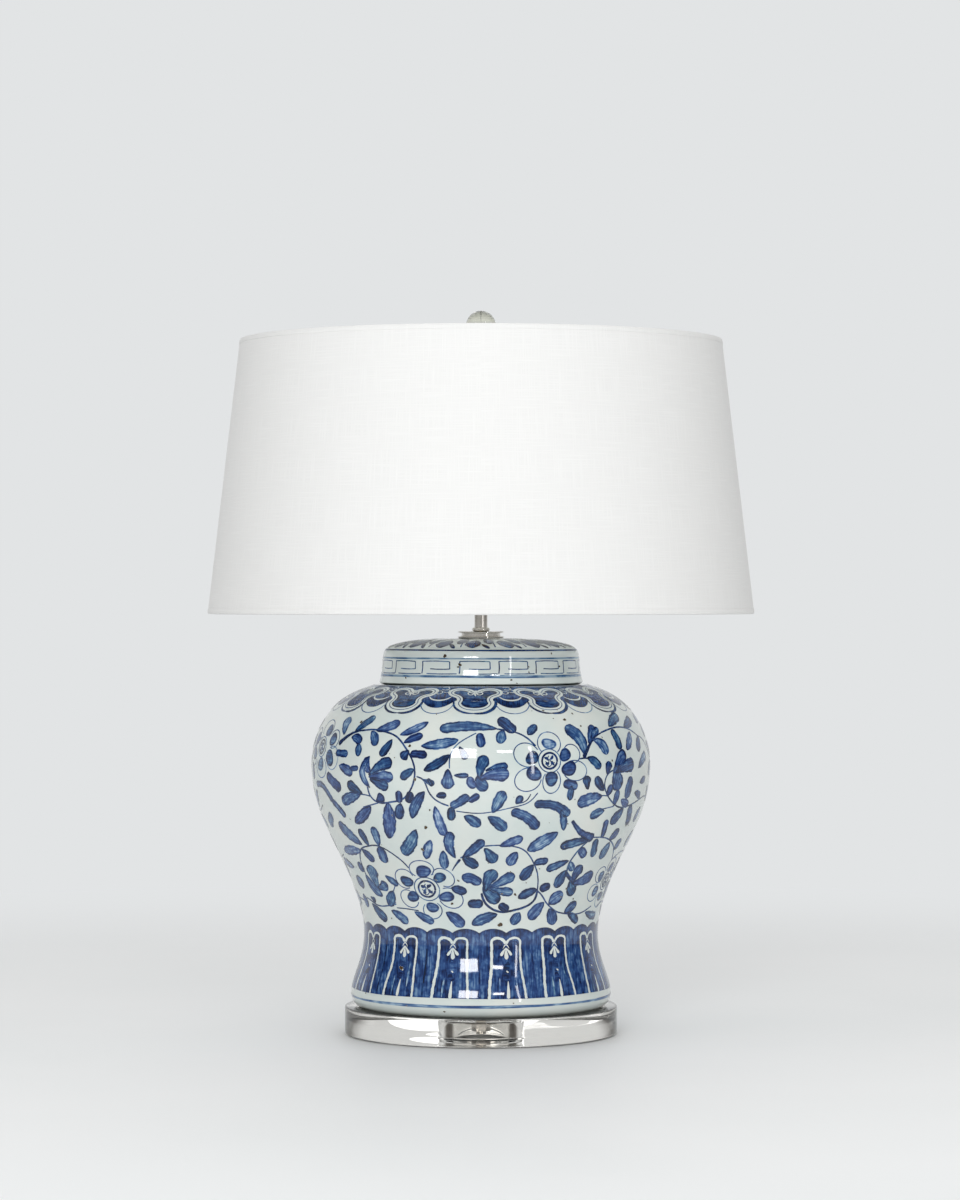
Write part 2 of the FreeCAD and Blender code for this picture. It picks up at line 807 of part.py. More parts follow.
save(make_bulb_glass(), "bulb_glass")
save(make_bulb_shell(), "bulb_shell")
save(make_bulb_insulator(), "bulb_insulator")
save(make_bulb_contact(), "bulb_contact")

save(make_spider(), "shade_spider")
save(make_rim(wall_len - rim_r), "shade_top_ring")
save(make_rim(rim_r), "shade_bottom_ring")
save(make_liner(), "shade_liner")
save(make_cloth(), "shade_fabric")
save(make_trim(False), "shade_top_trim")
save(make_trim(True), "shade_bottom_trim")

save(make_finial_base(), "finial_base")
save(make_ball(), "finial_ball")
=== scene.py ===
import math
import random

import bpy
import numpy as np
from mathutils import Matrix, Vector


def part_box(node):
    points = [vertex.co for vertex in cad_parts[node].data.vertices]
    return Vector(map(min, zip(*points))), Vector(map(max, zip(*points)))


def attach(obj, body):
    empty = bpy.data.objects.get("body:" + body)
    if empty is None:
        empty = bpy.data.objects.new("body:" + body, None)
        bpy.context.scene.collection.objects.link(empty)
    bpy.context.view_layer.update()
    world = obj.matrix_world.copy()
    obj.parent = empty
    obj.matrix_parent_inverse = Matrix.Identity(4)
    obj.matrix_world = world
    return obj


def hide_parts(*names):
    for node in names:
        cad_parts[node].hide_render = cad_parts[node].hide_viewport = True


# A blue-and-white ginger jar table lamp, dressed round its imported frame.
# Metres, +Z up, -Y is the front. The jar's painting is brushwork laid a tenth of a
# millimetre or so above the glaze: each stroke is placed by theta, the degrees round
# the jar from the front, and s, the millimetres down the outline from the lid's top.

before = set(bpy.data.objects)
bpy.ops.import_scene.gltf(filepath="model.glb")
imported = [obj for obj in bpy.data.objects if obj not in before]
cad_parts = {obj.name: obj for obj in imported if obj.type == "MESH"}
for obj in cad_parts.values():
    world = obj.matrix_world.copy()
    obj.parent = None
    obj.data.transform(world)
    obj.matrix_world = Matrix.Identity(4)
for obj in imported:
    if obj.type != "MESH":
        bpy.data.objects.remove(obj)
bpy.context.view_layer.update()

MM = 0.001
rng = random.Random(11)

# ---- the view, matched to the photograph
CAMERA_AT = (-0.0009, -3.5, 0.4043)
LENS = 112.4
SENSOR_H = 36.0

# ---- sizes read from the frame
jar_low, jar_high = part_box("jar")
lid_low, lid_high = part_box("jar_lid")
slab_low, slab_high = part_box("acrylic_base")
shade_low, shade_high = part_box("shade_fabric")
BELLY_R = jar_high.x
LID_FOOT_R = lid_high.x
SLAB_R = slab_high.x
LID_GAP = 0.4 * MM
SEAT_Z = lid_low.z - LID_GAP
JAR_H = SEAT_Z - jar_low.z


# ------------------------------------------------------------ outlines
def running(steps):
    """The distance travelled at each point of a run of steps, from 0."""
    return np.concatenate([[0.0], np.cumsum(steps)])


def unit(vectors):
    return vectors / np.linalg.norm(vectors, axis=1)[:, None]


def smooth_line(points, step):
    """Points about every step on the natural cubic spline through the given ones."""
    pts = np.array(points, float)
    gaps = np.linalg.norm(np.diff(pts, axis=0), axis=1)
    t = running(gaps)
    n = len(t)
    a = np.eye(n)
    b = np.zeros_like(pts)
    for i in range(1, n - 1):
        h0, h1 = gaps[i - 1], gaps[i]
        a[i, i - 1:i + 2] = h0, 2 * (h0 + h1), h1
        b[i] = 6 * ((pts[i + 1] - pts[i]) / h1 - (pts[i] - pts[i - 1]) / h0)
    m = np.linalg.solve(a, b)
    u = np.linspace(0, t[-1], int(t[-1] / step) + 2)
    i = np.clip(np.searchsorted(t, u) - 1, 0, n - 2)
    h = gaps[i][:, None]
    p = (t[i + 1] - u)[:, None] / h
    q = 1 - p
    bent = ((p ** 3 - p) * m[i] + (q ** 3 - q) * m[i + 1]) * h ** 2 / 6
    return p * pts[i] + q * pts[i + 1] + bent


class Outline:
    """An outline in the half plane (radius, height), addressed by millimetres along it."""

    def __init__(self, points, known_z, known_s):
        self.p = points
        steps = np.linalg.norm(np.diff(points, axis=0), axis=1)
        s = running(steps) / MM
        at = float(np.interp(-known_z, -points[:, 1], s))
        self.s = s - at + known_s
        t = unit(np.gradient(points, axis=0))
        self.n = np.stack([-t[:, 1], t[:, 0]], axis=1)

    def at(self, s):
        r, z = (np.interp(s, self.s, self.p[:, k]) for k in (0, 1))
        nr, nz = (np.interp(s, self.s, self.n[:, k]) for k in (0, 1))
        return r, z, nr, nz


# radius as a share of the belly, height as a share of the jar, from the neck down
JAR_SHARES = [(0.6320, 0.9980), (0.7190, 0.9810), (0.8300, 0.9480), (0.9150, 0.8990),
              (0.9800, 0.8270), (1.0000, 0.7460), (0.9880, 0.6780), (0.9270, 0.5740),
              (0.8160, 0.4500), (0.7260, 0.3300), (0.6905, 0.2250), (0.7250, 0.1270),
              (0.7600, 0.0710), (0.7675, 0.0480), (0.7620, 0.0250), (0.7460, 0.0085),
              (0.7125, 0.0)]
jar_points = smooth_line([(BELLY_R * r, jar_low.z + JAR_H * h) for r, h in JAR_SHARES],
                         1.5 * MM)
LID_TOP = lid_high.z
LID_R = LID_FOOT_R - 3.5 * MM
dome = [(0.0055, 0.0), (0.022, -0.0001), (0.045, -0.0007), (0.063, -0.0021),
        (0.079, -0.0052), (LID_R - 0.0045, -0.0086), (LID_R - 0.0012, -0.0122),
        (LID_R - 0.0001, -0.0172), (LID_R + 0.0006, -0.0250), (LID_R + 0.0016, -0.0335),
        (LID_FOOT_R - 0.0001, -0.0410)]
lid_points = smooth_line([(r, LID_TOP + z) for r, z in dome], 1.2 * MM)

# the photograph's own heights tie s to both outlines
lid_line = Outline(lid_points, known_z=0.3510, known_s=70.3)
jar_line = Outline(jar_points, known_z=0.3210, known_s=111.0)
LID_END_S = 97.0

WAVER = 0.12 * MM
FOOT_S = 430.0
WAVER_FADE = 20.0


def waver(theta, s):
    """A slow unevenness of hand-thrown ware, in metres, dying out at the foot."""
    a = np.radians(theta)
    fade = np.clip((FOOT_S - s) / WAVER_FADE, 0.0, 1.0)
    return WAVER * fade * (np.sin(2 * a + s * 0.017 + 0.6) + 0.6 * np.sin(3 * a - s * 0.031)
                           + 0.5 * np.sin(5 * a + s * 0.047 + 2.0))


def on_glaze(theta, s, lift=0.0):
    """Places and outward normals on the glaze for arrays of theta and s."""
    theta = np.asarray(theta, float)
    s = np.asarray(s, float)
    lid = s < LID_END_S
    parts = zip(lid_line.at(s), jar_line.at(s))
    r, z, nr, nz = (np.where(lid, a, b) for a, b in parts)
    out = lift + waver(theta, s)
    r, z = r + nr * out, z + nz * out
    a = np.radians(theta)
    place = np.stack([r * np.sin(a), -r * np.cos(a), z], axis=-1)
    normal = np.stack([nr * np.sin(a), -nr * np.cos(a), nz], axis=-1)
    return place, normal


# ------------------------------------------------------------ materials
def node(tree, kind, ins=None, **props):
    """A shader node whose inputs are set to values or linked to sockets."""
    made = tree.nodes.new("ShaderNode" + kind)
    for name, value in props.items():
        setattr(made, name, value)
    for key, value in (ins or {}).items():
        if isinstance(value, bpy.types.NodeSocket):
            tree.links.new(value, made.inputs[key])
        else:
            made.inputs[key].default_value = value
    return made


def material(name, **values):
    """A Principled material; returns it with its tree and shader."""
    mat = bpy.data.materials.new(name)
    mat.use_nodes = True
    tree = mat.node_tree
    shader = tree.nodes["Principled BSDF"]
    for key, value in values.items():
        shader.inputs[key.replace("_", " ")].default_value = value
    return mat, tree, shader


def srgb(r, g, b):
    """A colour as seen on screen, 0 to 255, in the renderer's own values."""
    out = []
    for c in (r, g, b):
        c /= 255.0
        out.append(c / 12.92 if c <= 0.04045 else ((c + 0.055) / 1.055) ** 2.4)
    return (*out, 1.0)


def noise(tree, where, scale, detail=2.0, rough=0.5):
    return node(tree, "TexNoise", {"Vector": where, "Scale": scale, "Detail": detail,
                                   "Roughness": rough}).outputs["Fac"]


def work_out(tree, how, a, b):
    return node(tree, "Math", {0: a, 1: b}, operation=how).outputs[0]


def times(tree, a, b):
    return work_out(tree, "MULTIPLY", a, b)


def plus(tree, *parts):
    """The sum of sockets and numbers, added from the left."""
    total = parts[0]
    for part in parts[1:]:
        total = work_out(tree, "ADD", total, part)
    return total


def spread(tree, value, low, high, to_low=0.0, to_high=1.0):
    """Value taken from low..high to another range, clamped, with soft ends."""
    ins = {"Value": value, "From Min": low, "From Max": high, "To Min": to_low,
           "To Max": to_high}
    return node(tree, "MapRange", ins, interpolation_type="SMOOTHSTEP").outputs[0]


def blend(tree, fac, a, b, how="MIX"):
    return node(tree, "MixRGB", {"Fac": fac, "Color1": a, "Color2": b},
                blend_type=how).outputs[0]


def ramp(tree, value, stops):
    made = node(tree, "ValToRGB", {"Fac": value})
    bar = made.color_ramp
    while len(bar.elements) < len(stops):
        bar.elements.new(0.5)
    for element, (at, colour) in zip(bar.elements, stops):
        element.position = at
        element.color = colour
    return made.outputs["Color"]


def local(tree):
    return node(tree, "TexCoord").outputs["Object"]


def split(tree, vector):
    return node(tree, "SeparateXYZ", {0: vector}).outputs


def stretched(tree, where, scale, turn=0.0):
    """Places drawn out for a texture that runs one way."""
    ins = {"Vector": where, "Scale": scale, "Rotation": (0, 0, turn)}
    return node(tree, "Mapping", ins).outputs[0]


def feed(tree, shader, **sockets):
    """Links sockets to the shader's inputs, an underscore standing for a space."""
    for key, socket in sockets.items():
        tree.links.new(socket, shader.inputs[key.replace("_", " ")])


def bump(tree, shader, height, distance, strength):
    ins = {"Height": height, "Distance": distance, "Strength": strength}
    feed(tree, shader, Normal=node(tree, "Bump", ins).outputs[0])


def glaze_colour(tree):
    """Pale celadon white with faint clouds and pin-prick specks."""
    where = local(tree)
    clouds = noise(tree, where, 22.0, 3.0)
    colour = ramp(tree, clouds, [(0.30, srgb(198, 209, 207)), (0.50, srgb(206, 214, 211)),
                                 (0.72, srgb(213, 217, 212))])
    pricks = node(tree, "TexVoronoi", {"Vector": where, "Scale": 95.0}).outputs["Distance"]
    keep = spread(tree, noise(tree, where, 60.0, 1.0), 0.66, 0.70)
    dots = times(tree, spread(tree, pricks, 0.045, 0.075, 1.0, 0.0), keep)
    return blend(tree, times(tree, dots, 0.75), colour, srgb(96, 84, 66))


GLOSS = dict(Roughness=0.05, IOR=1.60)
SEAM_Z = 0.3215


def glaze_surface(tree, shader):
    """The gloss's long slow ripple, the same over bare and painted glaze."""
    ripple = noise(tree, local(tree), 26.0, 1.0)
    bump(tree, shader, ripple, 0.25 * MM, 0.35)


def make_glaze():
    """The glaze is bluer up on the lid, and painted paler there: painted light that lifts the lid
    out of the shade's shadow.
    """
    mat, tree, shader = material("celadon_glaze", **GLOSS)
    height = split(tree, local(tree))[2]
    # painted light: above the seam the glaze is lightened as if lit where the shade shades the lid;
    # the bluer tint is the glaze's own
    up = spread(tree, height, SEAM_Z, SEAM_Z + 1 * MM, 0.0, 0.6)
    colour = blend(tree, up, glaze_colour(tree), srgb(226, 235, 234))
    feed(tree, shader, Base_Color=colour)
    glaze_surface(tree, shader)
    return mat


def brush_attributes(tree):
    """What Brushwork stores: stroke holds millimetres along and across and a seed,
    paint holds millimetres from the rim, the tone, and how much it pools there."""
    stroke = node(tree, "Attribute", attribute_name="stroke").outputs["Vector"]
    paint = node(tree, "Attribute", attribute_name="paint").outputs["Vector"]
    return stroke, split(tree, paint)


def cobalt_depth(tree, stroke, rim, tone, pool):
    """How dark the wash is: pooled at the rim, paler inside, streaked and clouded."""
    streaks = noise(tree, stretched(tree, stroke, (0.07, 0.75, 1.0)), 1.0)
    clouds = noise(tree, stroke, 0.16)
    ragged = noise(tree, stroke, 0.55)
    inner = plus(tree, rim, times(tree, ragged, -1.0))
    edge = times(tree, spread(tree, inner, 0.5, 1.6, 1.0, 0.0), pool)
    pale = plus(tree, spread(tree, inner, 0.9, 3.2, 0.0, -0.09),
                spread(tree, rim, 0.10, 0.55, -0.55, 0.0))
    return plus(tree, tone, times(tree, edge, 0.36), times(tree, pale, pool),
                spread(tree, streaks, 0.34, 0.66, -0.19, 0.17),
                spread(tree, clouds, 0.34, 0.66, -0.18, 0.20))


WASH_STOPS = (0.0, 0.20, 0.45, 0.72, 1.0)
BLUE_WASH = ((158, 178, 202), (104, 132, 170), (56, 86, 140), (28, 56, 112), (9, 28, 70))
TEAL_WASH = ((148, 176, 192), (90, 130, 158), (44, 88, 130), (24, 58, 104), (8, 28, 58))


def wash(tree, deep, colours):
    return ramp(tree, deep, [(at, srgb(*c)) for at, c in zip(WASH_STOPS, colours)])


def make_cobalt():
    """Watercolour cobalt, each stroke a little bluer or a little more teal."""
    mat, tree, shader = material("cobalt", **GLOSS)
    stroke, (rim, tone, pool) = brush_attributes(tree)
    deep = cobalt_depth(tree, stroke, rim, tone, pool)
    seed = split(tree, stroke)[2]
    kind = noise(tree, node(tree, "CombineXYZ", {0: seed}).outputs[0], 1.7)
    colour = blend(tree, spread(tree, kind, 0.35, 0.65), wash(tree, deep, BLUE_WASH),
                   wash(tree, deep, TEAL_WASH))
    feed(tree, shader, Base_Color=colour)
    glaze_surface(tree, shader)
    return mat


def make_speck():
    """Iron spots burnt through the glaze."""
    mat, tree, shader = material("iron_speck", **GLOSS)
    stroke, (rim, _, _) = brush_attributes(tree)
    grain = noise(tree, stroke, 1.6)
    brown = ramp(tree, grain, [(0.30, srgb(34, 28, 22)), (0.70, srgb(88, 66, 36))])
    cover = spread(tree, plus(tree, rim, times(tree, grain, -0.30)), -0.15, 0.08)
    feed(tree, shader, Base_Color=blend(tree, cover, glaze_colour(tree), brown))
    glaze_surface(tree, shader)
    return mat


# ------------------------------------------------------------ meshes
def piece_from(name, verts, faces, mat, body="lamp", normals=None):
    mesh = bpy.data.meshes.new(name)
    mesh.from_pydata([tuple(v) for v in verts], [], faces)
    mesh.polygons.foreach_set("use_smooth", [True] * len(mesh.polygons))
    mesh.update()
    if normals is not None:
        mesh.normals_split_custom_set_from_vertices([tuple(v) for v in normals])
    obj = bpy.data.objects.new(name, mesh)
    bpy.context.scene.collection.objects.link(obj)
    mesh.materials.append(mat)
    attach(obj, body)
    return obj


def lathe(name, line, mat, body="lamp", around=160, close=False, skin=None):
    """A surface of revolution from (radius, height) points, listed top and outside down.

    skin is the outline that the first points follow, where they waver as it does."""
    line = np.array(line, float)
    rows = len(line)
    a = np.linspace(0, 2 * math.pi, around, endpoint=False)
    r, z = line[:, 0][:, None] + 0 * a, line[:, 1][:, None] + 0 * a
    if skin is not None:
        n = len(skin.p)
        out = waver(np.degrees(a)[None, :], skin.s[:, None])
        r[:n] += skin.n[:, :1] * out
        z[:n] += skin.n[:, 1:] * out
    verts = np.stack([r * np.sin(a), -r * np.cos(a), z], axis=-1)
    faces = []
    for i in range(rows if close else rows - 1):
        j = (i + 1) % rows
        for k in range(around):
            m = (k + 1) % around
            faces.append((i * around + k, j * around + k, j * around + m, i * around + m))
    return piece_from(name, verts.reshape(-1, 3), faces, mat, body)


# how far each layer of paint lies above the glaze, in millimetres
LIFT = {
    "vines": 0.08, "flowers": 0.11, "leaves": 0.14,
    "collar_ground": 0.09, "collar_white": 0.14, "collar_fill": 0.19, "collar_marks": 0.22,
    "collar_curls": 0.25, "lid_keys": 0.12, "lid_petals": 0.14,
    "lappet_ground": 0.08, "lappet_marks": 0.11, "lappet_white": 0.15, "foot_line": 0.12,
    "iron_specks": 0.24,
}


class Brushwork:
    """Patches of paint of one layer that follow the glaze, gathered into one piece."""

    def __init__(self, layer, ending=""):
        self.name, self.lift = layer + ending, LIFT[layer]
        self.verts, self.normals, self.faces = [], [], []
        self.stroke, self.paint = [], []

    def patch(self, theta, s, rim, tone, along, across, pool=1.0, wrap=False):
        """A grid of paint. rim is the millimetres to the stroke's edge at each point."""
        theta, s, rim, along, across = np.broadcast_arrays(theta, s, rim, along, across)
        rows, cols = theta.shape
        place, normal = on_glaze(theta, s, self.lift * MM)
        base = sum(len(v) for v in self.verts)
        self.verts.append(place.reshape(-1, 3))
        self.normals.append(normal.reshape(-1, 3))
        seed = np.full(theta.shape, rng.uniform(0.0, 40.0))
        self.stroke.append(np.stack([along, across, seed], -1).reshape(-1, 3))
        tones = np.broadcast_to(tone, theta.shape)
        pools = np.full(theta.shape, pool)
        self.paint.append(np.stack([rim, tones, pools], -1).reshape(-1, 3))
        for i in range(rows - 1):
            for k in range(cols if wrap else cols - 1):
                m = (k + 1) % cols
                self.faces.append((base + i * cols + k, base + (i + 1) * cols + k,
                                   base + (i + 1) * cols + m, base + i * cols + m))

    def done(self, mat):
        verts = np.concatenate(self.verts)
        normals = np.concatenate(self.normals)
        faces = np.array(self.faces)
        # every face looks outward
        a, b, c, d = (verts[faces[:, k]] for k in range(4))
        facing = np.einsum("ij,ij->i", np.cross(c - a, d - b), normals[faces[:, 0]])
        faces[facing < 0] = faces[facing < 0][:, ::-1]
        obj = piece_from(self.name, verts, faces.tolist(), mat, "lamp", normals)
        for name, rows in (("stroke", self.stroke), ("paint", self.paint)):
            made = obj.data.attributes.new(name, "FLOAT_VECTOR", "POINT")
            made.data.foreach_set("vector", np.concatenate(rows).ravel())
        return obj


def moved(points, turn):
    """A run of (theta, s) points turned round the jar."""
    return [(theta + turn, s) for theta, s in points]


def cos_sin(degrees):
    a = math.radians(degrees)
    return math.cos(a), math.sin(a)


def mm_per_degree(s):
    s = np.asarray(s, float)
    r = np.where(s < LID_END_S, lid_line.at(s)[0], jar_line.at(s)[0])
    return r / MM * math.pi / 180


def curve_through(points, per_mm=0.9):
    """A smooth run through (theta, s) points: theta, s and millimetres along."""
    pts = np.array(points, float)
    k = float(mm_per_degree(pts[:, 1].mean()))
    flat = pts * (k, 1.0)
    length = np.linalg.norm(np.diff(flat, axis=0), axis=1).sum()
    if len(pts) > 2:
        flat = smooth_line(flat, 1.0 / per_mm)
    else:
        n = max(int(length * per_mm), 8)
        flat = flat[0] + np.linspace(0, 1, n + 1)[:, None] * (flat[1] - flat[0])
    steps = np.linalg.norm(np.diff(flat, axis=0), axis=1)
    return flat, running(steps), k


def swell(x, power):
    """Rises from nothing at 0 to full at 1, and stays there."""
    return (1 - (1 - np.clip(x, 0, 1)) ** 2) ** power


def round_end(d, reach):
    """A round end: d is the distance to the tip."""
    return np.sqrt(1 - (1 - np.clip(d / reach, 0, 1)) ** 2)


def half_width(shape, along, width):
    """Half the stroke's width at each distance along it, for a named shape."""
    long = along[-1]
    u, left = along / long, long - along
    nose = min(0.55 * width, 0.45 * long)
    if shape == "leaf":
        form = swell(u / 0.60, 0.74) * round_end(left, nose * 1.1)
    elif shape == "drop":
        form = (0.20 + 0.80 * np.clip(u / 0.70, 0, 1) ** 0.9) * round_end(left, nose)
        form *= round_end(along, 0.3 * nose)
    elif shape == "spin":
        form = swell(u / 0.50, 0.70) * swell((1 - u) / 0.42, 0.62)
    elif shape == "bar":
        form = (0.80 + 0.20 * u) * round_end(left, nose) * round_end(along, nose * 0.7)
    elif shape == "taper":
        form = (1 - 0.75 * u ** 0.6) * round_end(left, 0.8) * round_end(along, width / 2)
    else:
        form = round_end(left, 0.6) * round_end(along, 0.6)
    return form * width / 2


ACROSS = np.array([-1.0, -0.84, -0.66, -0.44, 0.0, 0.44, 0.66, 0.84, 1.0])


def brush(sheet, points, width, shape="leaf", tone=0.42, pool=1.0, columns=ACROSS,
          rough=0.05):
    """One stroke along the points, width millimetres wide, in a named shape."""
    flat, along, k = curve_through(points)
    # rows crowd towards both ends, where the outline turns
    n = max(int(along[-1] * 0.9), 12)
    where = along[-1] * (1 - np.cos(np.linspace(0, math.pi, n))) / 2
    flat = np.stack([np.interp(where, along, flat[:, c]) for c in (0, 1)], axis=1)
    along = where
    half = half_width(shape, along, width)
    t = unit(np.gradient(flat, axis=0))
    side = np.stack([t[:, 1], -t[:, 0]], axis=1)
    phase = rng.uniform(0, 6.28)
    shake = 1 + rough * np.sin(along[:, None] * 0.75 + phase + 2.4 * columns[None, :])
    shake += rough * 0.6 * np.sin(along[:, None] * 1.7 + 2 * phase)
    off = half[:, None] * columns[None, :] * shake
    theta = (flat[:, 0][:, None] + side[:, 0][:, None] * off) / k
    s = flat[:, 1][:, None] + side[:, 1][:, None] * off
    rim = half[:, None] * (1 - np.abs(columns[None, :]))
    tail, head = rng.uniform(0.10, 0.42), rng.uniform(0.05, 0.42)
    ends = tail * np.exp(-along / 5.0) + head * np.exp(-(along[-1] - along) / 5.0)
    deep = tone + rng.uniform(-0.04, 0.18) + ends[:, None] * (pool > 0.5)
    deep = deep + rng.uniform(-0.12, 0.12) * columns[None, :] * (pool > 0.5)
    sheet.patch(theta, s, rim, deep, along[:, None], off, pool)


def leaf(sheet, t0, s0, t1, s1, width, bend=0.0, shape="leaf", tone=0.42):
    """A leaf from its tail to its head, bulging bend millimetres to the left of that."""
    k = float(mm_per_degree((s0 + s1) / 2))
    dx, dy = (t1 - t0) * k, s1 - s0
    n = math.hypot(dx, dy)
    if bend == 0.0:
        bend = rng.uniform(-0.05, 0.05) * n
    points = [(t0, s0)]
    for u in (0.33, 0.67):
        push = bend * 4 * u * (1 - u)
        points.append((t0 + (t1 - t0) * u + push * dy / n / k, s0 + dy * u - push * dx / n))
    points.append((t1, s1))
    brush(sheet, points, width * 1.10 + 0.5, shape, tone)


THIN = np.array([-1.0, -0.5, 0.0, 0.5, 1.0])


def line(sheet, points, width, tone=0.62):
    brush(sheet, points, width + 0.25, "line", tone, 0.2, THIN, 0.06)


def blob(sheet, theta, s, rx, ry, tone=0.5, turn=0.0, pool=1.0, wobble=0.08):
    """A filled round dab with half-sizes rx and ry in millimetres."""
    k = float(mm_per_degree(s))
    a = np.linspace(0, 2 * math.pi, 28, endpoint=False)[None, :]
    f = np.array([0.0, 0.35, 0.62, 0.82, 1.0])[:, None]
    phase = rng.uniform(0, 6.28)
    r = 1 + wobble * (np.sin(2 * a + phase) + 0.6 * np.sin(3 * a + 2 * phase))
    x, y = rx * f * r * np.cos(a), ry * f * r * np.sin(a)
    c, d = cos_sin(turn)
    x, y = x * c - y * d, x * d + y * c
    rim = (1 - f) * min(rx, ry) + 0 * a
    sheet.patch(theta + x / k, s + y, rim, tone + rng.uniform(-0.06, 0.06), x, y, pool,
                wrap=True)


RING_STEPS = 12


def ring(sheet, theta, s, rx, ry, width, turn=0.0, tone=0.6, start=0.0, sweep=360.0):
    """A thin drawn oval, or part of one, round a centre."""
    k = float(mm_per_degree(s))
    c, d = cos_sin(turn)
    wob = rng.uniform(0, 6.28)
    points = []
    for i in range(RING_STEPS + 1):
        a = math.radians(start + sweep * i / RING_STEPS)
        r = 1 + 0.025 * math.sin(2 * a + wob)
        x, y = rx * r * math.cos(a), ry * r * math.sin(a)
        points.append((theta + (x * c - y * d) / k, s + x * d + y * c))
    line(sheet, points, width, tone)


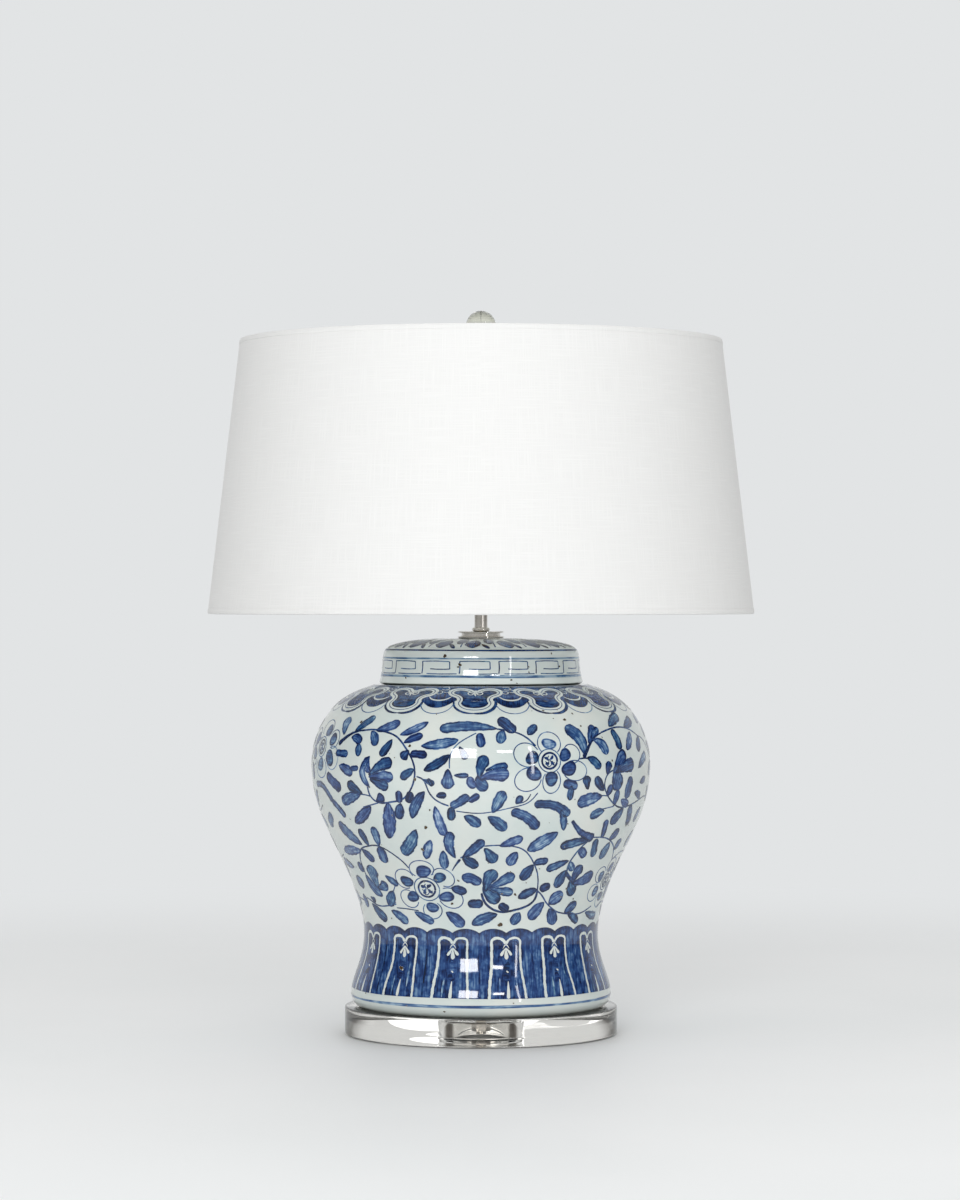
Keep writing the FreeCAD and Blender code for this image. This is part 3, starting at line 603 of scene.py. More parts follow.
# ------------------------------------------------------------ the scrolling field
# leaf: tail theta, tail s, head theta, head s, width, bend, shape, tone
FIELD_LEAVES = [
    (-54.8, 168.5, -56.6, 150, 12, 1, "drop", 0.34), (-49.5, 165.5, -41.8, 149, 7.5),
    (-39.3, 163, -29.8, 154, 8.5, -1), (-28.7, 167, -18.8, 153.6, 7, -1, "spin", 0.3),
    (-26.8, 174.5, -20, 167, 6.5), (-20.3, 177, -7.5, 171, 8.5, -1, "spin", 0.28),
    (5.8, 160.4, -14.4, 160.8, 9, -3, "leaf", 0.34), (-0.8, 164.5, -0.2, 178, 8, 1, "bar"),
    (-50.2, 170.5, -44.6, 175.5, 8, 2), (-45.8, 175.5, -45, 188, 7.5, 0, "spin"),
    (-41.2, 164, -38, 178, 8.5, 2), (-31.3, 171, -35.5, 186.5, 7.5, 1),
    (-24.4, 181, -27, 189, 9, 0, "drop", 0.6), (-23.9, 184.4, -17.9, 185.7, 7, 0, "bar", 0.5),
    (-10.1, 184.4, -19, 199, 7.5, 0, "spin", 0.5), (-7.2, 177, -4.6, 188.4, 7, 0, "drop"),
    (-57.5, 185.3, -50.3, 186, 6.5, 0, "bar"), (-54.9, 197, -47.5, 204, 8.5),
    (-49.5, 199, -44.6, 198, 4.5), (-22.2, 197.7, -27.2, 207, 7),
    (-19.5, 207, -15.3, 211, 5, 0, "drop", 0.25), (-17.6, 206, -16, 213, 4, 0, "bar", 0.3),
    (-10.8, 197.2, -11, 215.5, 11.5, 0, "drop"), (-8.9, 203, -4, 203, 4),
    (-63.3, 205.7, -54.3, 218.4, 10, 0, "bar"), (-43.3, 222, -50.6, 213, 9, 0, "drop"),
    (-44.2, 222.5, -55, 231, 9.5, -1), (-37.6, 229, -34.3, 222.5, 9, 0, "drop", 0.5),
    (-32.9, 228.5, -36, 264.5, 12.5, 2, "spin"), (-28.2, 217.5, -28.2, 229, 7, 0, "bar", 0.5),
    (-27.9, 229, -29.9, 244.5, 9, 0, "leaf", 0.5), (-23.4, 218.5, -25, 229, 7.5, 0, "bar", 0.7),
    (-18.8, 217.7, -24.4, 243.7, 9, -2, "spin"), (-66, 243.5, -72, 256, 10, 0, "bar"),
    (-40.3, 233.3, -50.7, 250.4, 9.5, 0, "spin"), (-62, 230, -55.3, 245, 7, 1, "bar", 0.5),
    (-15.6, 231, -12.9, 260, 8.5, -1, "leaf", 0.26), (-10.3, 231.7, -4, 221, 8, 0, "bar"),
    (-4, 227, -0.5, 220.5, 6, 0, "bar"), (-10, 232, -10.4, 245, 7.5, 0, "bar", 0.5),
    (-5.9, 240.5, -0.3, 250.5, 9, 1), (-15, 222, -11.4, 221, 5.5),
    (11.8, 163.7, 6.3, 149, 10.5, 0, "bar", 0.5), (7.7, 161, 6.3, 174.5, 8.5),
    (16, 166.5, 19.8, 156.5, 7, 0, "spin"), (36.5, 186.4, 30.4, 159.7, 12, -6, "leaf"),
    (38.8, 175.5, 43, 157.5, 8.5, -1, "leaf", 0.34), (40.5, 172, 45.2, 161, 6.5, 1, "leaf", 0.34),
    (41.4, 173, 46.5, 186.5, 9.5, 4), (51.8, 163.5, 54, 182.5, 9.5, 2, "bar"),
    (64.2, 166, 58.2, 183, 8, 0, "spin"), (51.3, 160, 61.3, 148, 9, 1),
    (61, 161, 71, 152, 8), (71, 171, 66.5, 184.5, 9), (37.3, 188.5, 43.1, 199, 7.5, 2),
    (46.3, 204.5, 47.6, 192.5, 9, 0, "drop", 0.5), (38, 217.5, 37, 204.5, 9, 0, "drop", 0.6),
    (28, 210.5, 33.6, 214.5, 9, 0, "bar", 0.55), (31.2, 213, 31, 227, 6.5, 0, "spin"),
    (45.5, 219, 41, 206, 8, 0, "leaf", 0.55), (47, 224.5, 49, 213.5, 7, 0, "leaf", 0.5),
    (61, 208, 59.5, 228, 12, -2, "bar"), (51.8, 234.5, 53, 219, 7.5, 0, "leaf"),
    (66, 200.5, 75, 188.5, 8), (55.5, 228.5, 61.5, 234, 7), (58.8, 237, 52.6, 250.5, 11, 1),
    (63, 235, 66.5, 255, 10, 1, "bar"), (45, 224, 34.2, 230.5, 11, -1),
    (47.5, 238, 41, 244, 8.5, -1), (10.2, 236, 20.3, 253.5, 9.5, 3, "bar"),
    (2.2, 241, 8.8, 254.5, 9.5, 1), (3.8, 237.5, 7.6, 217, 9.5, 0, "leaf", 0.34),
    (11.6, 229, 13.9, 222, 6), (28, 235, 30.8, 256, 6.5, 1, "spin"),
    (51, 265, 50, 247, 7, 0, "bar"), (68, 214, 74, 211, 6), (64.5, 223, 71, 228, 6),
    (-51.2, 272.5, -62.5, 252, 12, 1, "leaf", 0.5), (-47.5, 273.5, -49.7, 256, 8, 0, "leaf", 0.5),
    (-42, 273.5, -42, 253, 8.5, 0, "leaf", 0.45), (-42, 273.5, -41.8, 290.5, 11, 0, "bar"),
    (-23.5, 254, -31.5, 280, 11, 2, "leaf", 0.4), (-18.5, 264.5, -21.8, 284.5, 8, 0, "spin", 0.3),
    (-9.8, 283, -10.6, 256, 8.5, 4, "leaf", 0.4), (-7.2, 282.5, 1, 264, 8),
    (-7.3, 281.5, -1.2, 292, 9), (-14.3, 275, -14.5, 294, 8, 0, "leaf", 0.3),
    (-0.4, 310, -8, 303.5, 10, -3, "bar", 0.5), (-12.8, 313, -6, 317.5, 8, 0, "spin", 0.65),
    (-6, 328.5, 1, 328, 8.5, 0, "bar", 0.5), (-44.3, 303.5, -38, 312.5, 6.5),
    (-41.8, 318.5, -47.2, 334, 10), (-46.4, 338.5, -36.7, 349.5, 8),
    (-32.3, 338, -22.5, 347.5, 7), (-16.3, 337.5, -8.2, 351, 9.5, 1, "leaf", 0.5),
    (7.6, 339, -4.3, 349, 9, -1, "spin"), (-61, 333.5, -50.5, 348, 9),
    (-60.5, 327, -56.5, 331, 6, 0, "drop"), (-69.5, 310, -63, 316, 12, 0, "bar"),
    (-68, 325, -66, 338, 9), (-53.5, 279, -69, 282, 9, 0, "spin"),
    (-60.5, 292, -58.5, 302, 9, 0, "bar"), (-53, 277.5, -47.6, 289.5, 8.5),
    (-66, 298, -77, 293, 8), (6.8, 270.5, 15.3, 262, 8), (1.2, 272.5, 5.2, 288, 11, 1, "drop"),
    (13.8, 276.5, 11.2, 291, 9.5), (28.7, 257.5, 17.6, 275.5, 12, 0, "spin"),
    (21.3, 288, 27.3, 286.5, 7.5, 0, "bar", 0.5), (21.2, 290, 17, 306, 9.5),
    (44.5, 267, 31, 272.5, 8.5, -1), (40.8, 274.5, 45.2, 284, 8.5, 0, "bar"),
    (47.8, 266, 50, 285, 8, 0, "bar"), (56, 268.5, 61, 258, 9), (57.3, 270.5, 55, 288, 11),
    (63.5, 280, 67, 269, 9), (37.2, 287.5, 27.3, 296, 7.5, 0, "leaf", 0.5),
    (37.5, 288, 41, 298, 6.5), (37.2, 297, 34.2, 315, 10, 0, "leaf", 0.5),
    (25, 315.5, 16.5, 324, 8, 0, "spin", 0.65), (26, 316, 31, 312, 8.5, 0, "bar", 0.6),
    (8, 329.5, 12.5, 335.5, 8, 0, "bar"), (18, 337.5, 14.5, 349, 9),
    (29.5, 328.5, 23, 345, 10.5), (32, 331, 39, 321, 12, 1, "leaf", 0.5),
    (32.5, 335, 36.5, 351, 10.5), (42, 340, 49, 330.5, 9, 0, "leaf", 0.5),
    (44.5, 341.5, 53, 350.5, 7), (58, 341.5, 71.5, 347, 7),
    # the flanks, round the sides
    (77, 158, 84, 150, 8), (86, 160, 81, 172, 8), (80, 178, 88, 188, 9, 1),
    (91, 166, 97, 156, 8), (98, 170, 92, 182, 9), (84, 196, 79, 208, 9, 0, "bar"),
    (95, 192, 89, 206, 10), (100, 196, 102, 212, 8), (79, 218, 85, 232, 9),
    (91, 214, 96, 228, 9, -1), (104, 222, 98, 238, 9), (76, 238, 72, 252, 9),
    (86, 240, 92, 254, 10), (97, 246, 103, 258, 8), (80, 262, 75, 278, 9),
    (90, 262, 86, 280, 10), (99, 266, 94, 284, 9), (78, 290, 84, 304, 9),
    (92, 292, 88, 308, 9), (101, 294, 97, 310, 8), (82, 314, 77, 330, 9),
    (93, 318, 88, 332, 9), (100, 322, 103, 338, 8), (79, 338, 88, 347, 7),
    (98, 337, 91, 348, 8),
]
# drawn runs: width, shape, tone, points
FIELD_RUNS = [
    (10.5, "drop", 0.40, [(-40.0, 204.5), (-35, 195.5), (-30.4, 191.5)]),
    (9, "drop", 0.42, [(-40.0, 206), (-34.5, 204.5), (-30.0, 206.5)]),
    (9.5, "drop", 0.48, [(-39.6, 207.5), (-35.5, 212), (-32.0, 214.5)]),
    (7, "spin", 0.4, [(-39.6, 216), (-42.8, 203), (-39.6, 187.2)]),
    (7.5, "bar", 0.3, [(-39.6, 202), (-40.9, 195), (-40.8, 188)]),
    (6.5, "bar", 0.42, [(-75, 216.5), (-68, 216.8), (-61.4, 231)]),
    (10.5, "drop", 0.42, [(-0.5, 207), (0, 195), (1.8, 185.5)]),
    (12, "drop", 0.46, [(-0.5, 206), (4, 202.5), (9.2, 202)]),
    (6.5, "drop", 0.36, [(1.4, 199), (5, 195.5), (8.8, 195)]),
    (11, "drop", 0.46, [(-1, 203), (-0.8, 209), (2.4, 214)]),
    (8, "bar", 0.4, [(-3.2, 204), (-3.4, 209), (-1.6, 213.4)]),
    (12, "drop", 0.5, [(50, 204), (53, 192), (57.3, 186)]),
    (12, "drop", 0.5, [(50.5, 203), (56, 198.5), (62.4, 196)]),
    (17, "drop", 0.55, [(50.5, 196), (51.6, 208), (53.5, 219)]),
    (8.5, "bar", 0.42, [(18, 229.7), (25, 231), (31.8, 241)]),
    (11, "taper", 0.48, [(46, 265.5), (39, 259), (33.4, 246.4)]),
    (15, "drop", 0.42, [(-51, 317), (-52, 304), (-50.8, 294)]),
    (10, "drop", 0.42, [(-52, 317), (-48, 315.5), (-44.5, 311.5)]),
    (9.5, "spin", 0.4, [(-57.8, 304), (-55, 317), (-49.6, 324.5)]),
    (12, "drop", 0.42, [(2.0, 317), (3, 305), (6, 295.5)]),
    (10, "drop", 0.42, [(3.0, 314), (9, 306.5), (13.8, 299.5)]),
    (8.5, "drop", 0.42, [(3, 312.5), (9, 316.5), (14, 317.8)]),
    (12, "drop", 0.48, [(1.0, 311), (3.6, 320), (8.5, 326)]),
    (11.5, "drop", 0.5, [(42.6, 312), (43.2, 302), (45.3, 293)]),
    (12.5, "drop", 0.5, [(42.4, 311.5), (48.5, 308.8), (54.8, 303)]),
    (12, "drop", 0.5, [(41.0, 308), (42.6, 316), (45.7, 322)]),
    (3.5, "line", 0.55, [(37.3, 300), (40, 305), (43, 309.5)]),
    (3.0, "taper", 0.55, [(-8, 284), (-10, 290), (-11.7, 296)]),
    (5.2, "taper", 0.62, [(-56.6, 177.5), (-53, 170.5), (-49.5, 165.8), (-44.2, 163)]),
    (4.4, "taper", 0.62, [(36, 188.4), (38.7, 178.4), (41.6, 170.8), (45.9, 165.9)]),
]
# vines: width, then (theta, s) points
FIELD_VINES = [
    (1.5, [(-46, 163.8), (-39.3, 162.4), (-34.5, 164.4), (-30, 168.4), (-26.8, 175.7),
           (-24.4, 183.7), (-22.4, 194.4), (-22.2, 205), (-23.9, 217), (-26.8, 225),
           (-31.6, 228.4), (-37, 229), (-39.8, 223.7), (-40.8, 213)]),
    (1.2, [(-21.5, 204.4), (-19.3, 207), (-17.6, 217), (-14.7, 226.4), (-10.8, 231)]),
    (0.9, [(-1.6, 164.4), (-5.5, 170.4), (-8.9, 178.4), (-10.3, 189), (-10.3, 197)]),
    (0.8, [(-8.4, 235.7), (0, 237.7), (6.3, 235), (11.6, 231.7), (16, 227.7), (19, 219)]),
    (0.8, [(11.6, 229), (15.2, 226), (16.6, 220)]),
    (1.0, [(-47, 223), (-42.7, 222.4), (-39.8, 223.7)]),
    (1.0, [(-44.2, 234.4), (-36.9, 229.7)]),
    (1.4, [(5.3, 160.4), (11.8, 163.7), (15.5, 169), (18.4, 177)]),
    (1.4, [(45.9, 165.7), (51.2, 162.4), (55.6, 161), (60.9, 161.7), (65.7, 165), (70, 170.4)]),
    (1.3, [(50.3, 200.4), (46.4, 205), (45.4, 213), (47.1, 222.4), (50.7, 230.4),
           (55.6, 235.7), (60.4, 235.7), (66.2, 233), (71.5, 229.7)]),
    (0.9, [(46.2, 236.4), (52.2, 234.4)]), (0.9, [(42, 225), (45.5, 223.6), (48, 224.4)]),
    (1.2, [(34, 189.4), (36.5, 188.8), (39, 189.6)]),
    (1.3, [(-57.2, 289), (-52.9, 277), (-48, 273.7), (-44.2, 272.4), (-39.3, 275.7),
           (-35.5, 281.7), (-32.6, 287.7), (-30.4, 294.4)]),
    (1.3, [(-57.2, 289), (-57.7, 297), (-57.2, 307.7), (-53.8, 321)]),
    (1.2, [(-64.5, 328.4), (-61.6, 330.4), (-56.2, 334.4), (-51.9, 335), (-47, 333.7),
           (-42, 331.7)]),
    (0.9, [(-42.2, 335.4), (-36.4, 335.7), (-29.7, 337)]),
    (0.9, [(-42.2, 331), (-42.6, 322), (-40, 313), (-39.5, 307)]),
    (1.1, [(-8, 283), (-4, 276), (1, 270.4)]),
    (1.1, [(1, 270.4), (4.8, 269.7), (11, 270.4), (16, 274.4), (19.8, 283.7), (21.3, 289),
           (23.7, 299.7), (24.9, 311.7), (25.1, 317)]),
    (2.0, [(25.1, 317), (24.2, 326.4), (20.3, 332.4), (14.5, 335.7), (9.7, 337),
           (4.8, 333.7), (1.4, 326.4), (0.2, 318.4)]),
    (1.2, [(25.1, 317), (28, 322.4), (30, 327.7), (33.8, 334.4), (37.2, 338.4), (42, 340.7),
           (48.3, 342.4), (54.6, 341.7), (62.8, 336.4)]),
    (1.6, [(44.5, 266.4), (40.6, 275.7), (38.7, 283.7), (37.5, 291.7), (38.2, 303)]),
    (1.2, [(46, 264.4), (50.7, 265), (55, 267), (59.4, 271.7), (63.3, 278.4), (66.7, 290.4)]),
    # round the sides
    (1.2, [(70, 170.4), (76, 176), (80, 186), (88, 192), (96, 190), (102, 182), (108, 172)]),
    (1.2, [(71.5, 229.7), (78, 228), (86, 234), (92, 240), (100, 242), (107, 236)]),
    (1.2, [(66.7, 290.4), (73, 284), (82, 284), (90, 288), (98, 290), (107, 286)]),
    (1.2, [(70, 338), (78, 334), (86, 336), (94, 333), (103, 330), (113, 333)]),
]
# flowers: centre theta, s, eye rx, ry, then petals (theta, s, rx, ry, turn) and dabs
FLOWERS = [
    (23, 190.4, 11, 10.4,
     [(23.3, 174.5, 11.5, 10.5, 0), (31.4, 184.4, 9, 8.2, 30), (32.4, 199.7, 13, 9, 10),
      (23.7, 209, 8.6, 11, 0), (15.5, 207, 12.5, 10.5, -25), (15.2, 184.8, 12.5, 10.5, 15)],
     [(23.2, 175, 6.4, 5.0, 0.2), (28.8, 185.4, 5.6, 5.4, 0.6), (30.1, 197.8, 6.8, 6.4, 0.6),
      (23.6, 206.6, 6.2, 5.8, 0.62), (17.4, 201.6, 6.6, 6.2, 0.6), (17, 187.6, 5.8, 5.6, 0.6)]),
    (-23.9, 315, 12.5, 11.5,
     [(-24.8, 295, 12, 9, 0), (-15.6, 303, 10.5, 8.5, 35), (-13.5, 323.5, 12, 9.5, 20),
      (-22.6, 336, 9, 8.5, 0), (-33.6, 325.5, 10, 8, 30), (-33.8, 305.5, 10, 10, -20)],
     [(-24.1, 297.4, 7.4, 5.6, 0.58), (-17.4, 303.4, 6.0, 4.6, 0.55),
      (-15.2, 322.4, 6.6, 4.8, 0.55), (-22.5, 333.2, 5.4, 4.8, 0.5),
      (-31.4, 323.2, 5.8, 5.0, 0.55), (-33.0, 308.2, 6.0, 5.2, 0.6)]),
    (-69.3, 181, 10, 9.5,
     [(-68.5, 163.5, 12, 9, 0), (-60.6, 173, 9, 9, 0), (-59.8, 190.5, 11, 10.5, 0),
      (-68.5, 200, 13, 9.5, 0), (-78, 190, 11, 9.5, 0), (-78, 172, 10, 9, 0)],
     [(-66.8, 165.2, 6, 5.4, 0.5), (-61.2, 173.4, 6, 5.6, 0.5), (-61.6, 190.8, 7.4, 6.6, 0.5),
      (-68.9, 197.4, 6.6, 5.8, 0.5), (-76.6, 188, 6, 5.6, 0.5), (-76.4, 174, 6, 5.6, 0.5)]),
    (70.5, 312, 10, 9.5,
     [(70, 296.5, 9.5, 8, 0), (61.8, 305, 9, 8, 0), (60.6, 323, 9.5, 8.5, 0),
      (70.2, 330.5, 9, 8, 0), (79.5, 321, 9, 8, 0), (79, 303, 9, 8, 0)],
     [(70, 298.6, 5, 4.6, 0.5), (62.8, 306.8, 5.2, 4.8, 0.5), (62.2, 321.6, 5.2, 4.8, 0.5),
      (70.3, 327.8, 5.2, 4.6, 0.5), (78, 319.4, 5, 4.6, 0.5), (77.6, 305, 5, 4.6, 0.5)]),
]


EYE_DABS = (40, 130, 215, 310)
EYE_SQUIGGLES = (0, 95, 190, 280)
PETAL_OPENING = 42


def paint_eye(lines, fills, theta, s, rx, ry):
    """A flower's eye: two rings round four dabs and four squiggles."""
    ring(lines, theta, s, rx, ry, 0.8, 0, 0.46)
    ring(lines, theta, s, rx * 0.66, ry * 0.70, 1.7, 10, 0.8)
    k = float(mm_per_degree(s))
    for a in EYE_DABS:
        x, y = cos_sin(a)
        blob(fills, theta + x * rx * 0.32 / k, s + y * ry * 0.34, rx * 0.19, ry * 0.15, 0.74,
             a, 0.4, 0.2)
    for a in EYE_SQUIGGLES:
        x, y = cos_sin(a)
        ring(lines, theta + x * rx * 0.26 / k, s + y * ry * 0.30, rx * 0.24, ry * 0.17, 0.7,
             a + 35, 0.72, 40 * a, 240)


def paint_flower(lines, fills, flower, turn):
    theta, s, rx, ry, petals, dabs = flower
    k = float(mm_per_degree(s))
    for t, d, a, b, lean in petals:
        # a petal's outline stays open behind the eye
        back = math.degrees(math.atan2(s - d, (theta - t) * k)) - lean
        ring(lines, t + turn, d, a, b, 0.75, lean, 0.42, back + PETAL_OPENING,
             360 - 2 * PETAL_OPENING)
    paint_eye(lines, fills, theta + turn, s, rx, ry)
    for t, d, a, b, tone in dabs:
        blob(fills, t + turn, d, a * 1.1, b * 1.1, tone + 0.06, rng.uniform(-20, 20))


FIELD_MID_S = 248


def quarter(sheets, theta, s):
    """The field is painted on four sheets: upper left, upper right, and the two below."""
    return sheets[(0 if s < FIELD_MID_S else 2) + (1 if theta > 0 else 0)]


def paint_field(cobalt):
    """The scroll of vines, leaves and flowers, on the front and again on the back."""
    for side, turn in (("_front", 0.0), ("_back", 180.0)):
        vines = Brushwork("vines", side)
        for width, points in FIELD_VINES:
            line(vines, moved(points, turn), width)
        flowers = Brushwork("flowers", side)
        for flower in FLOWERS:
            paint_flower(vines, flowers, flower, turn)
        sheets = [Brushwork("leaves", f"{side}_{k}") for k in range(4)]
        for t0, s0, t1, s1, *rest in FIELD_LEAVES:
            sheet = quarter(sheets, t0 + t1, (s0 + s1) / 2)
            leaf(sheet, t0 + turn, s0, t1 + turn, s1, *rest)
        for width, shape, tone, points in FIELD_RUNS:
            brush(quarter(sheets, *points[0]), moved(points, turn), width * 1.12, shape, tone)
        for sheet in [vines, flowers] + sheets:
            sheet.done(cobalt)


# ------------------------------------------------------------ the collar of cloud heads
HEADS = 12
HEAD_AT = -2.5
# half of a head's outline: millimetres beside its middle, and s
HEAD_HALF = [(0, 111.0), (2.6, 107.2), (7.6, 103.6), (14.2, 102.4), (20.6, 104.6),
             (24.8, 109.6), (25.2, 115.4), (22.2, 120.0), (18.0, 122.8), (16.6, 125.6),
             (17.9, 129.6), (17.4, 134.8), (13.6, 139.6), (7.4, 142.5), (0, 143.3)]
HEAD_MID = (0.0, 120.0)
# in the same terms: the heavy line under a head, and the white curl hanging in its notch
HEAD_UNDER = [(17.0, 124.0), (18.9, 129.5), (18.4, 135.4), (14.2, 140.6), (7.0, 143.6),
              (-1.5, 144.2)]
HEAD_CURL = [(0.6, 108.5), (1.0, 114.5), (3.8, 118.0), (6.6, 114.6), (4.6, 111.8)]
# degrees from the middle of a gap between heads, and s: the line and the white arc below
GAP_LINE = [(-7.2, 130.5), (-5.2, 139.5), (0, 144.4), (5.2, 139.5), (7.2, 130.5)]
GAP_ARC = [(-5.0, 120.5), (-3.6, 124.6), (0, 127.2), (3.6, 124.6), (5.0, 120.5)]
# the gap's thin white swirls: degrees from its middle, half width in degrees, and s
GAP_SWIRLS = [(-1.6, 1.5, 114.0), (1.5, 1.4, 111.0), (0.1, 1.9, 105.0)]
COLLAR_TOP_S = 97.6
CRESCENT_S = 123.5
FAN_SHARES = np.array([1.0, 0.86, 0.66, 0.36, 0.0])[:, None]


def closed_curve(half, step=1.1):
    """A smooth closed curve from the points of its right half."""
    right = smooth_line(half, step)
    return np.concatenate([right[:-1], (right * (-1, 1))[::-1][:-1]])


def inset(curve, by):
    """A closed curve moved inward."""
    t = unit(np.roll(curve, -1, axis=0) - np.roll(curve, 1, axis=0))
    return curve + np.stack([-t[:, 1], t[:, 0]], axis=1) * by


def to_theta(centre, x, s):
    return centre + x / mm_per_degree(s)


def fan(sheet, centre, curve, mid, tone):
    """A filled closed curve, shaded from its rim inward."""
    x = mid[0] + (curve[:, 0] - mid[0])[None, :] * FAN_SHARES
    s = mid[1] + (curve[:, 1] - mid[1])[None, :] * FAN_SHARES
    reach = np.linalg.norm(curve - np.array(mid), axis=1)[None, :]
    rim = (1 - FAN_SHARES) * reach
    sheet.patch(to_theta(centre, x, s), s, rim, tone, x, s - mid[1], 1.0, True)


def loop_line(sheet, centre, curve, width, tone):
    """A drawn line along a closed curve."""
    f = np.array([0.0, 0.5, 1.0])[:, None, None]
    both = curve[None] * (1 - f) + inset(curve, width)[None] * f
    x, s = both[..., 0], both[..., 1]
    rim = np.array([0.0, width / 2, 0.0])[:, None]
    sheet.patch(to_theta(centre, x, s), s, rim + 0 * x, tone, x, s, 0.4, True)


def band(sheet, top, foot, tone, columns, rows, level=False):
    """A band all round, from s top to s foot, brushed downward, or round if level.

    The tone is a number or a function of theta and s."""
    theta = np.linspace(-180, 180, columns, endpoint=False)
    high = np.array([top(t) for t in theta])
    low = np.array([foot(t) for t in theta])
    f = np.linspace(0, 1, rows)[:, None]
    s = high * (1 - f) + low * f
    theta = theta[None, :] + 0 * s
    rim = np.minimum(s - high, low - s)
    deep = tone(theta, s) if callable(tone) else tone
    around = theta * mm_per_degree(s)
    along, across = (around * 0.4, s) if level else (s, around)
    sheet.patch(theta, s, rim, deep, along, across, 0.2, True)


def hoop(sheet, s, width, tone, sway=0.2):
    """A line drawn round the turning jar: not quite level, not quite even."""
    lean = rng.uniform(0, 6.28)

    def edge(side):
        def at(theta):
            a = math.radians(theta)
            w = width * (1 + 0.16 * math.sin(3 * a + lean) + 0.12 * math.sin(7 * a)) + 0.3
            return s + sway * math.sin(a + lean) + side * w / 2
        return at

    band(sheet, edge(-1), edge(1), tone, 240, 5, True)


def collar_foot(theta):
    """The ground hangs lowest between two heads."""
    pitch = 360.0 / HEADS
    off = abs((theta - HEAD_AT) % pitch - pitch / 2) / 6.9
    return 137.6 - 9.6 * min(off, 1.0) ** 2.2


def collar_tone(theta, s):
    """Streaky above, deep in the crescents below the white arcs."""
    return np.where(s > CRESCENT_S, 0.86, 0.72)


def paint_head(at, head, ground, white, fill, marks):
    """One cloud head: its white edge, its fill, and a line heavier on the right below."""
    shape = head * (1 + rng.uniform(-0.03, 0.03), 1.0)
    fan(white, at, shape, HEAD_MID, 0.0)
    fan(fill, at, inset(shape, 5.4), HEAD_MID, 0.80)
    loop_line(marks, at, inset(shape, 2.7), 0.8, 0.72)
    for side, width in ((-1, 2.2), (1, 3.6)):
        path = [(float(to_theta(at, side * x, s)), s) for x, s in HEAD_UNDER]
        brush(ground, path, width, "spin", 0.76, 0.2, THIN, 0.04)


def white_stroke(sheet, path, at, width, shape, rough):
    """A stroke that leaves the glaze white."""
    brush(sheet, moved(path, at), width, shape, 0.0, 0.0, THIN, rough)


def paint_gap(at, ground, white, curls):
    """The line, white arc and swirls between two heads."""
    brush(ground, moved(GAP_LINE, at), 1.0, "line", 0.36, 0.3, THIN, 0.04)
    white_stroke(white, GAP_ARC, at, 2.0, "spin", 0.04)
    for turn, wide, s in GAP_SWIRLS:
        path = [(turn - wide, s - 3.4), (turn + 0.4 * wide, s - 4.4), (turn + wide, s - 0.6),
                (turn, s + 2.4), (turn - 0.8 * wide, s + 0.4)]
        white_stroke(curls, path, at, 0.8, "line", 0.10)


def paint_notch(at, curls):
    """The white curls that hang into a head from its notch."""
    k = float(mm_per_degree(112))
    for side in (-1, 1):
        path = [(side * x / k, s) for x, s in HEAD_CURL]
        white_stroke(curls, path, at, 1.1, "line", 0.12)
    white_stroke(curls, [(-1.2 / k, 113), (0.6 / k, 120)], at, 1.6, "spin", 0.12)


def paint_collar(cobalt, glaze):
    names = ("ground", "white", "fill", "marks", "curls")
    ground, white, fill, marks, curls = sheets = [Brushwork("collar_" + n) for n in names]
    band(ground, lambda theta: COLLAR_TOP_S, collar_foot, collar_tone, 480, 20)
    head = closed_curve(HEAD_HALF)
    for i in range(HEADS):
        at = HEAD_AT + i * 360.0 / HEADS
        paint_head(at, head, ground, white, fill, marks)
        paint_gap(at + 180.0 / HEADS, ground, white, curls)
        paint_notch(at, curls)
    for sheet in sheets:
        sheet.done(glaze if sheet in (white, curls) else cobalt)


# ------------------------------------------------------------ the lid
KEYS = 16
KEY_AT = -12.4
# a key's strokes: degrees from its start and s, then width and tone
KEY_STROKES = [
    ([(0, 72.6), (0.2, 78), (-0.1, 84.4)], 0.9, 0.55),
    ([(0, 73.0), (9, 72.7), (17.2, 73.2)], 0.7, 0.36),
    ([(17.2, 73.0), (17.4, 80.4)], 0.8, 0.5),
    ([(17.3, 80.0), (11, 80.2), (5.2, 79.8)], 0.7, 0.46),
    ([(3.0, 84.2), (11, 84.5), (21.6, 84.3)], 0.7, 0.34),
]
# lines round the lid: s, width, tone
LID_HOOPS = [(62.6, 1.5, 0.66), (70.6, 1.3, 0.16), (86.8, 2.2, 0.20)]
PETALS = 18


def paint_lid(cobalt):
    """The key fret round the collar and the petals on the dome."""
    keys = Brushwork("lid_keys")
    petals = Brushwork("lid_petals")
    for i in range(KEYS):
        at = KEY_AT + i * 360.0 / KEYS + rng.uniform(-0.4, 0.4)
        for path, width, tone in KEY_STROKES:
            line(keys, moved(path, at), width, tone)
    for hoop_row in LID_HOOPS:
        hoop(keys, *hoop_row)
    for i in range(PETALS):
        at = i * 360.0 / PETALS - 5 + rng.uniform(-2, 2)
        leaf(petals, at, 34, at + rng.uniform(-3, 3), 59.4, 12.5, 0, "spin", 0.66)
        leaf(petals, at + 10, 20, at + 10, 50, 7.6, 0, "spin", 0.60)
        leaf(petals, at + 4.6, 50, at + 9, 60.2, 3.4, 0, "spin", 0.60)
        line(petals, moved([(9, 30), (12, 44), (12.6, 58)], at), 0.9)
    for i in range(PETALS // 2):
        at = i * 720.0 / PETALS
        leaf(petals, at, 0.5, at + 6, 20, 6.5, 0, "spin", 0.6)
    keys.done(cobalt)
    petals.done(cobalt)


